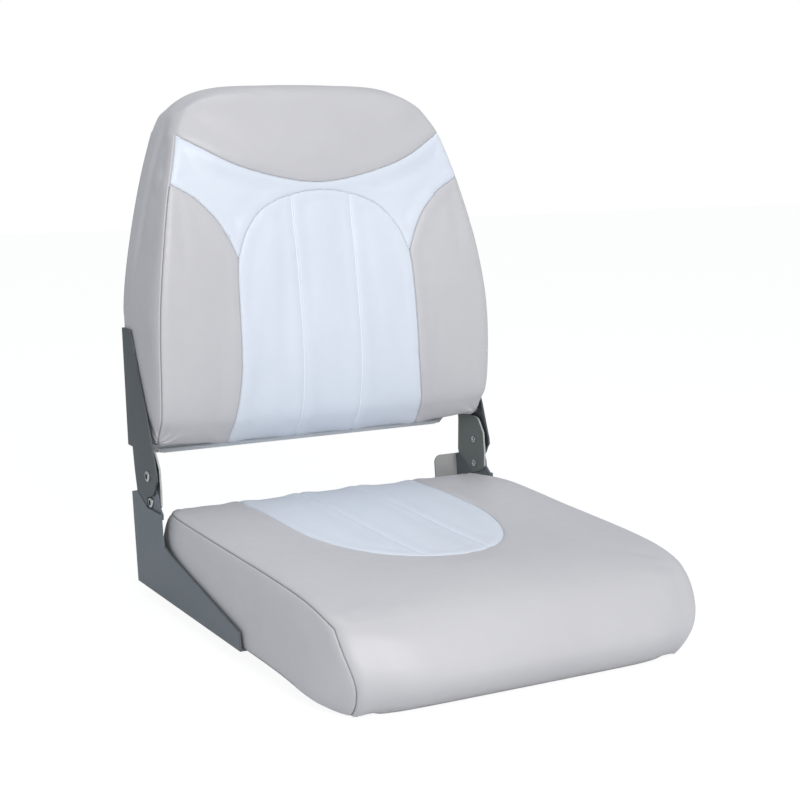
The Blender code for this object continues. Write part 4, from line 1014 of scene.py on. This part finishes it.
def rivet(name, node, body, side):
    low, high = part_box(node)
    middle = (low + high) / 2
    outer = high.x if side > 0 else -low.x
    inner = low.x if side > 0 else -high.x
    head = outer - 0.0022
    profile = [(0.0, outer - 0.0020), (0.0029, outer - 0.0020), (0.0033, outer - 0.0008), (0.0038, outer - 0.0001),
               (0.0045, outer), (0.0056, outer - 0.0003), (0.0065, outer - 0.0010), (0.0068, outer - 0.0018),
               (0.0066, head), (0.0029, head), (0.0029, inner + 0.0013), (0.0046, inner + 0.0012),
               (0.0048, inner + 0.0007), (0.0043, inner + 0.0001), (0.0030, inner), (0.0022, inner + 0.0005),
               (0.0019, inner + 0.0016), (0.0, inner + 0.0016)]
    work = bmesh.new()
    points = [work.verts.new((side * along, 0, radius)) for radius, along in profile]
    edges = [work.edges.new(pair) for pair in zip(points, points[1:])]
    bmesh.ops.spin(work, geom=points + edges, cent=(0, 0, 0), axis=(1, 0, 0), angle=2 * math.pi, steps=40,
                   use_merge=True)
    bmesh.ops.remove_doubles(work, verts=work.verts, dist=1e-6)
    bmesh.ops.recalc_face_normals(work, faces=work.faces)
    bmesh.ops.translate(work, vec=(0, middle.y, middle.z), verts=work.verts)
    mesh = bpy.data.meshes.new(name)
    work.to_mesh(mesh)
    work.free()
    mesh.shade_smooth()
    mesh.set_sharp_from_angle(angle=math.radians(50))
    mesh.materials.append(plated)
    item = placed(name, mesh)

    # The hollow inside the rolled rim and the bore get the painted shade.
    def hollow(face):
        reach = math.hypot(face.center.y - middle.y, face.center.z - middle.z)
        return reach < 0.0036 and abs(face.center.x) > outer - 0.0021 or reach < 0.0019

    rim_of(item, hollow, bore_painted_shade)
    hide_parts(node)
    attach(item, body)


for side, label in ((-1, "left"), (1, "right")):
    rivet("lower_tubular_rivet_" + label, "lower_rivet_" + label, "seat", side)
    rivet("upper_tubular_rivet_" + label, "upper_rivet_" + label, "back", side)
    dress("hinge_spacer_" + label, plated, 0.0003)
    dress("rear_screw_" + label, plated, 0.0002)
    for number in ("1", "2", "3"):
        dress("base_screw_" + label + "_" + number, plated, 0)
        dress("back_screw_" + label + "_" + number, plated, 0.0002)
for number in ("1", "2", "3", "4"):
    dress("tee_nut_" + number, plated, 0)

# Studio: a pale floor that keeps the seat's shadow, a white surround, and large soft lamps. The camera
# stands where the photograph's stood, at the front left.
ground = bmesh.new()
bmesh.ops.create_grid(ground, x_segments=1, y_segments=1, size=6)
bmesh.ops.translate(ground, vec=(0, 0, cad_low.z - 0.0005), verts=ground.verts)
mesh = bpy.data.meshes.new("studio_floor")
ground.to_mesh(mesh)
ground.free()
floor = placed("studio_floor", mesh)
pale, make, shader, links = new_material("pale_floor")
tree = pale.node_tree
shader.inputs["Base Color"].default_value = (0.86, 0.87, 0.88, 1)
shader.inputs["Roughness"].default_value = 0.9
glow = tree.nodes.new("ShaderNodeEmission")
glow.inputs["Color"].default_value = (1, 1, 1, 1)
glow.inputs["Strength"].default_value = 1.06
blend = tree.nodes.new("ShaderNodeMixShader")
rays = tree.nodes.new("ShaderNodeLightPath")
seen = tree.nodes.new("ShaderNodeMath")
seen.operation = "MULTIPLY"
seen.inputs[1].default_value = 0.88
tree.links.new(rays.outputs["Is Camera Ray"], seen.inputs[0])
tree.links.new(seen.outputs[0], blend.inputs[0])
tree.links.new(shader.outputs[0], blend.inputs[1])
tree.links.new(glow.outputs[0], blend.inputs[2])
tree.links.new(blend.outputs[0], tree.nodes["Material Output"].inputs["Surface"])
mesh.materials.append(pale)

world = bpy.data.worlds.new("studio")
bpy.context.scene.world = world
world.use_nodes = True
tree = world.node_tree
sky = tree.nodes["Background"]
sky.inputs["Color"].default_value = (0.88, 0.94, 1.0, 1)
sky.inputs["Strength"].default_value = 0.50
backdrop = tree.nodes.new("ShaderNodeBackground")
backdrop.inputs["Color"].default_value = (1, 1, 1, 1)
backdrop.inputs["Strength"].default_value = 1.0
rays = tree.nodes.new("ShaderNodeLightPath")
seen = tree.nodes.new("ShaderNodeMath")
seen.operation = "ADD"
seen.use_clamp = True
tree.links.new(rays.outputs["Is Camera Ray"], seen.inputs[0])
tree.links.new(rays.outputs["Is Transmission Ray"], seen.inputs[1])
blend = tree.nodes.new("ShaderNodeMixShader")
tree.links.new(seen.outputs[0], blend.inputs[0])
tree.links.new(sky.outputs[0], blend.inputs[1])
tree.links.new(backdrop.outputs[0], blend.inputs[2])
tree.links.new(blend.outputs[0], tree.nodes["World Output"].inputs["Surface"])


def lamp(name, place, target, size, power, colour):
    light = bpy.data.lights.new(name, "AREA")
    light.shape = "DISK"
    light.size = size
    light.energy = power
    light.color = colour
    item = placed(name, light)
    item.location = place
    item.rotation_mode = "QUATERNION"
    item.rotation_quaternion = (Vector(target) - Vector(place)).to_track_quat("-Z", "Y")


lamp("key", (-0.35, -2.45, 1.9), (0, 0, 0.25), 1.6, 46, (1.0, 0.99, 0.98))
lamp("fill", (-2.6, -0.6, 1.0), (0, 0, 0.25), 1.8, 1.5, (0.85, 0.94, 1.0))
lamp("low", (-0.3, -2.3, 0.25), (0, 0, 0.2), 1.2, 5, (1.0, 1.0, 1.0))
lamp("over", (0.0, 0.3, 2.6), (0, 0, 0.2), 1.6, 13, (1.0, 1.0, 1.0))

camera = bpy.data.cameras.new("camera")
camera.sensor_width = 36
camera.lens = 1670.74 / 800 * 36
eye = placed("camera", camera)
yaw, pitch = 0.5077, -0.1783
ahead = Vector((math.sin(yaw) * math.cos(pitch), math.cos(yaw) * math.cos(pitch), math.sin(pitch)))
eye.location = (-0.9472, -1.6665, 0.6033)
eye.rotation_mode = "QUATERNION"
eye.rotation_quaternion = ahead.to_track_quat("-Z", "Y")
bpy.context.scene.camera = eye
bpy.context.scene.view_settings.view_transform = "Standard"
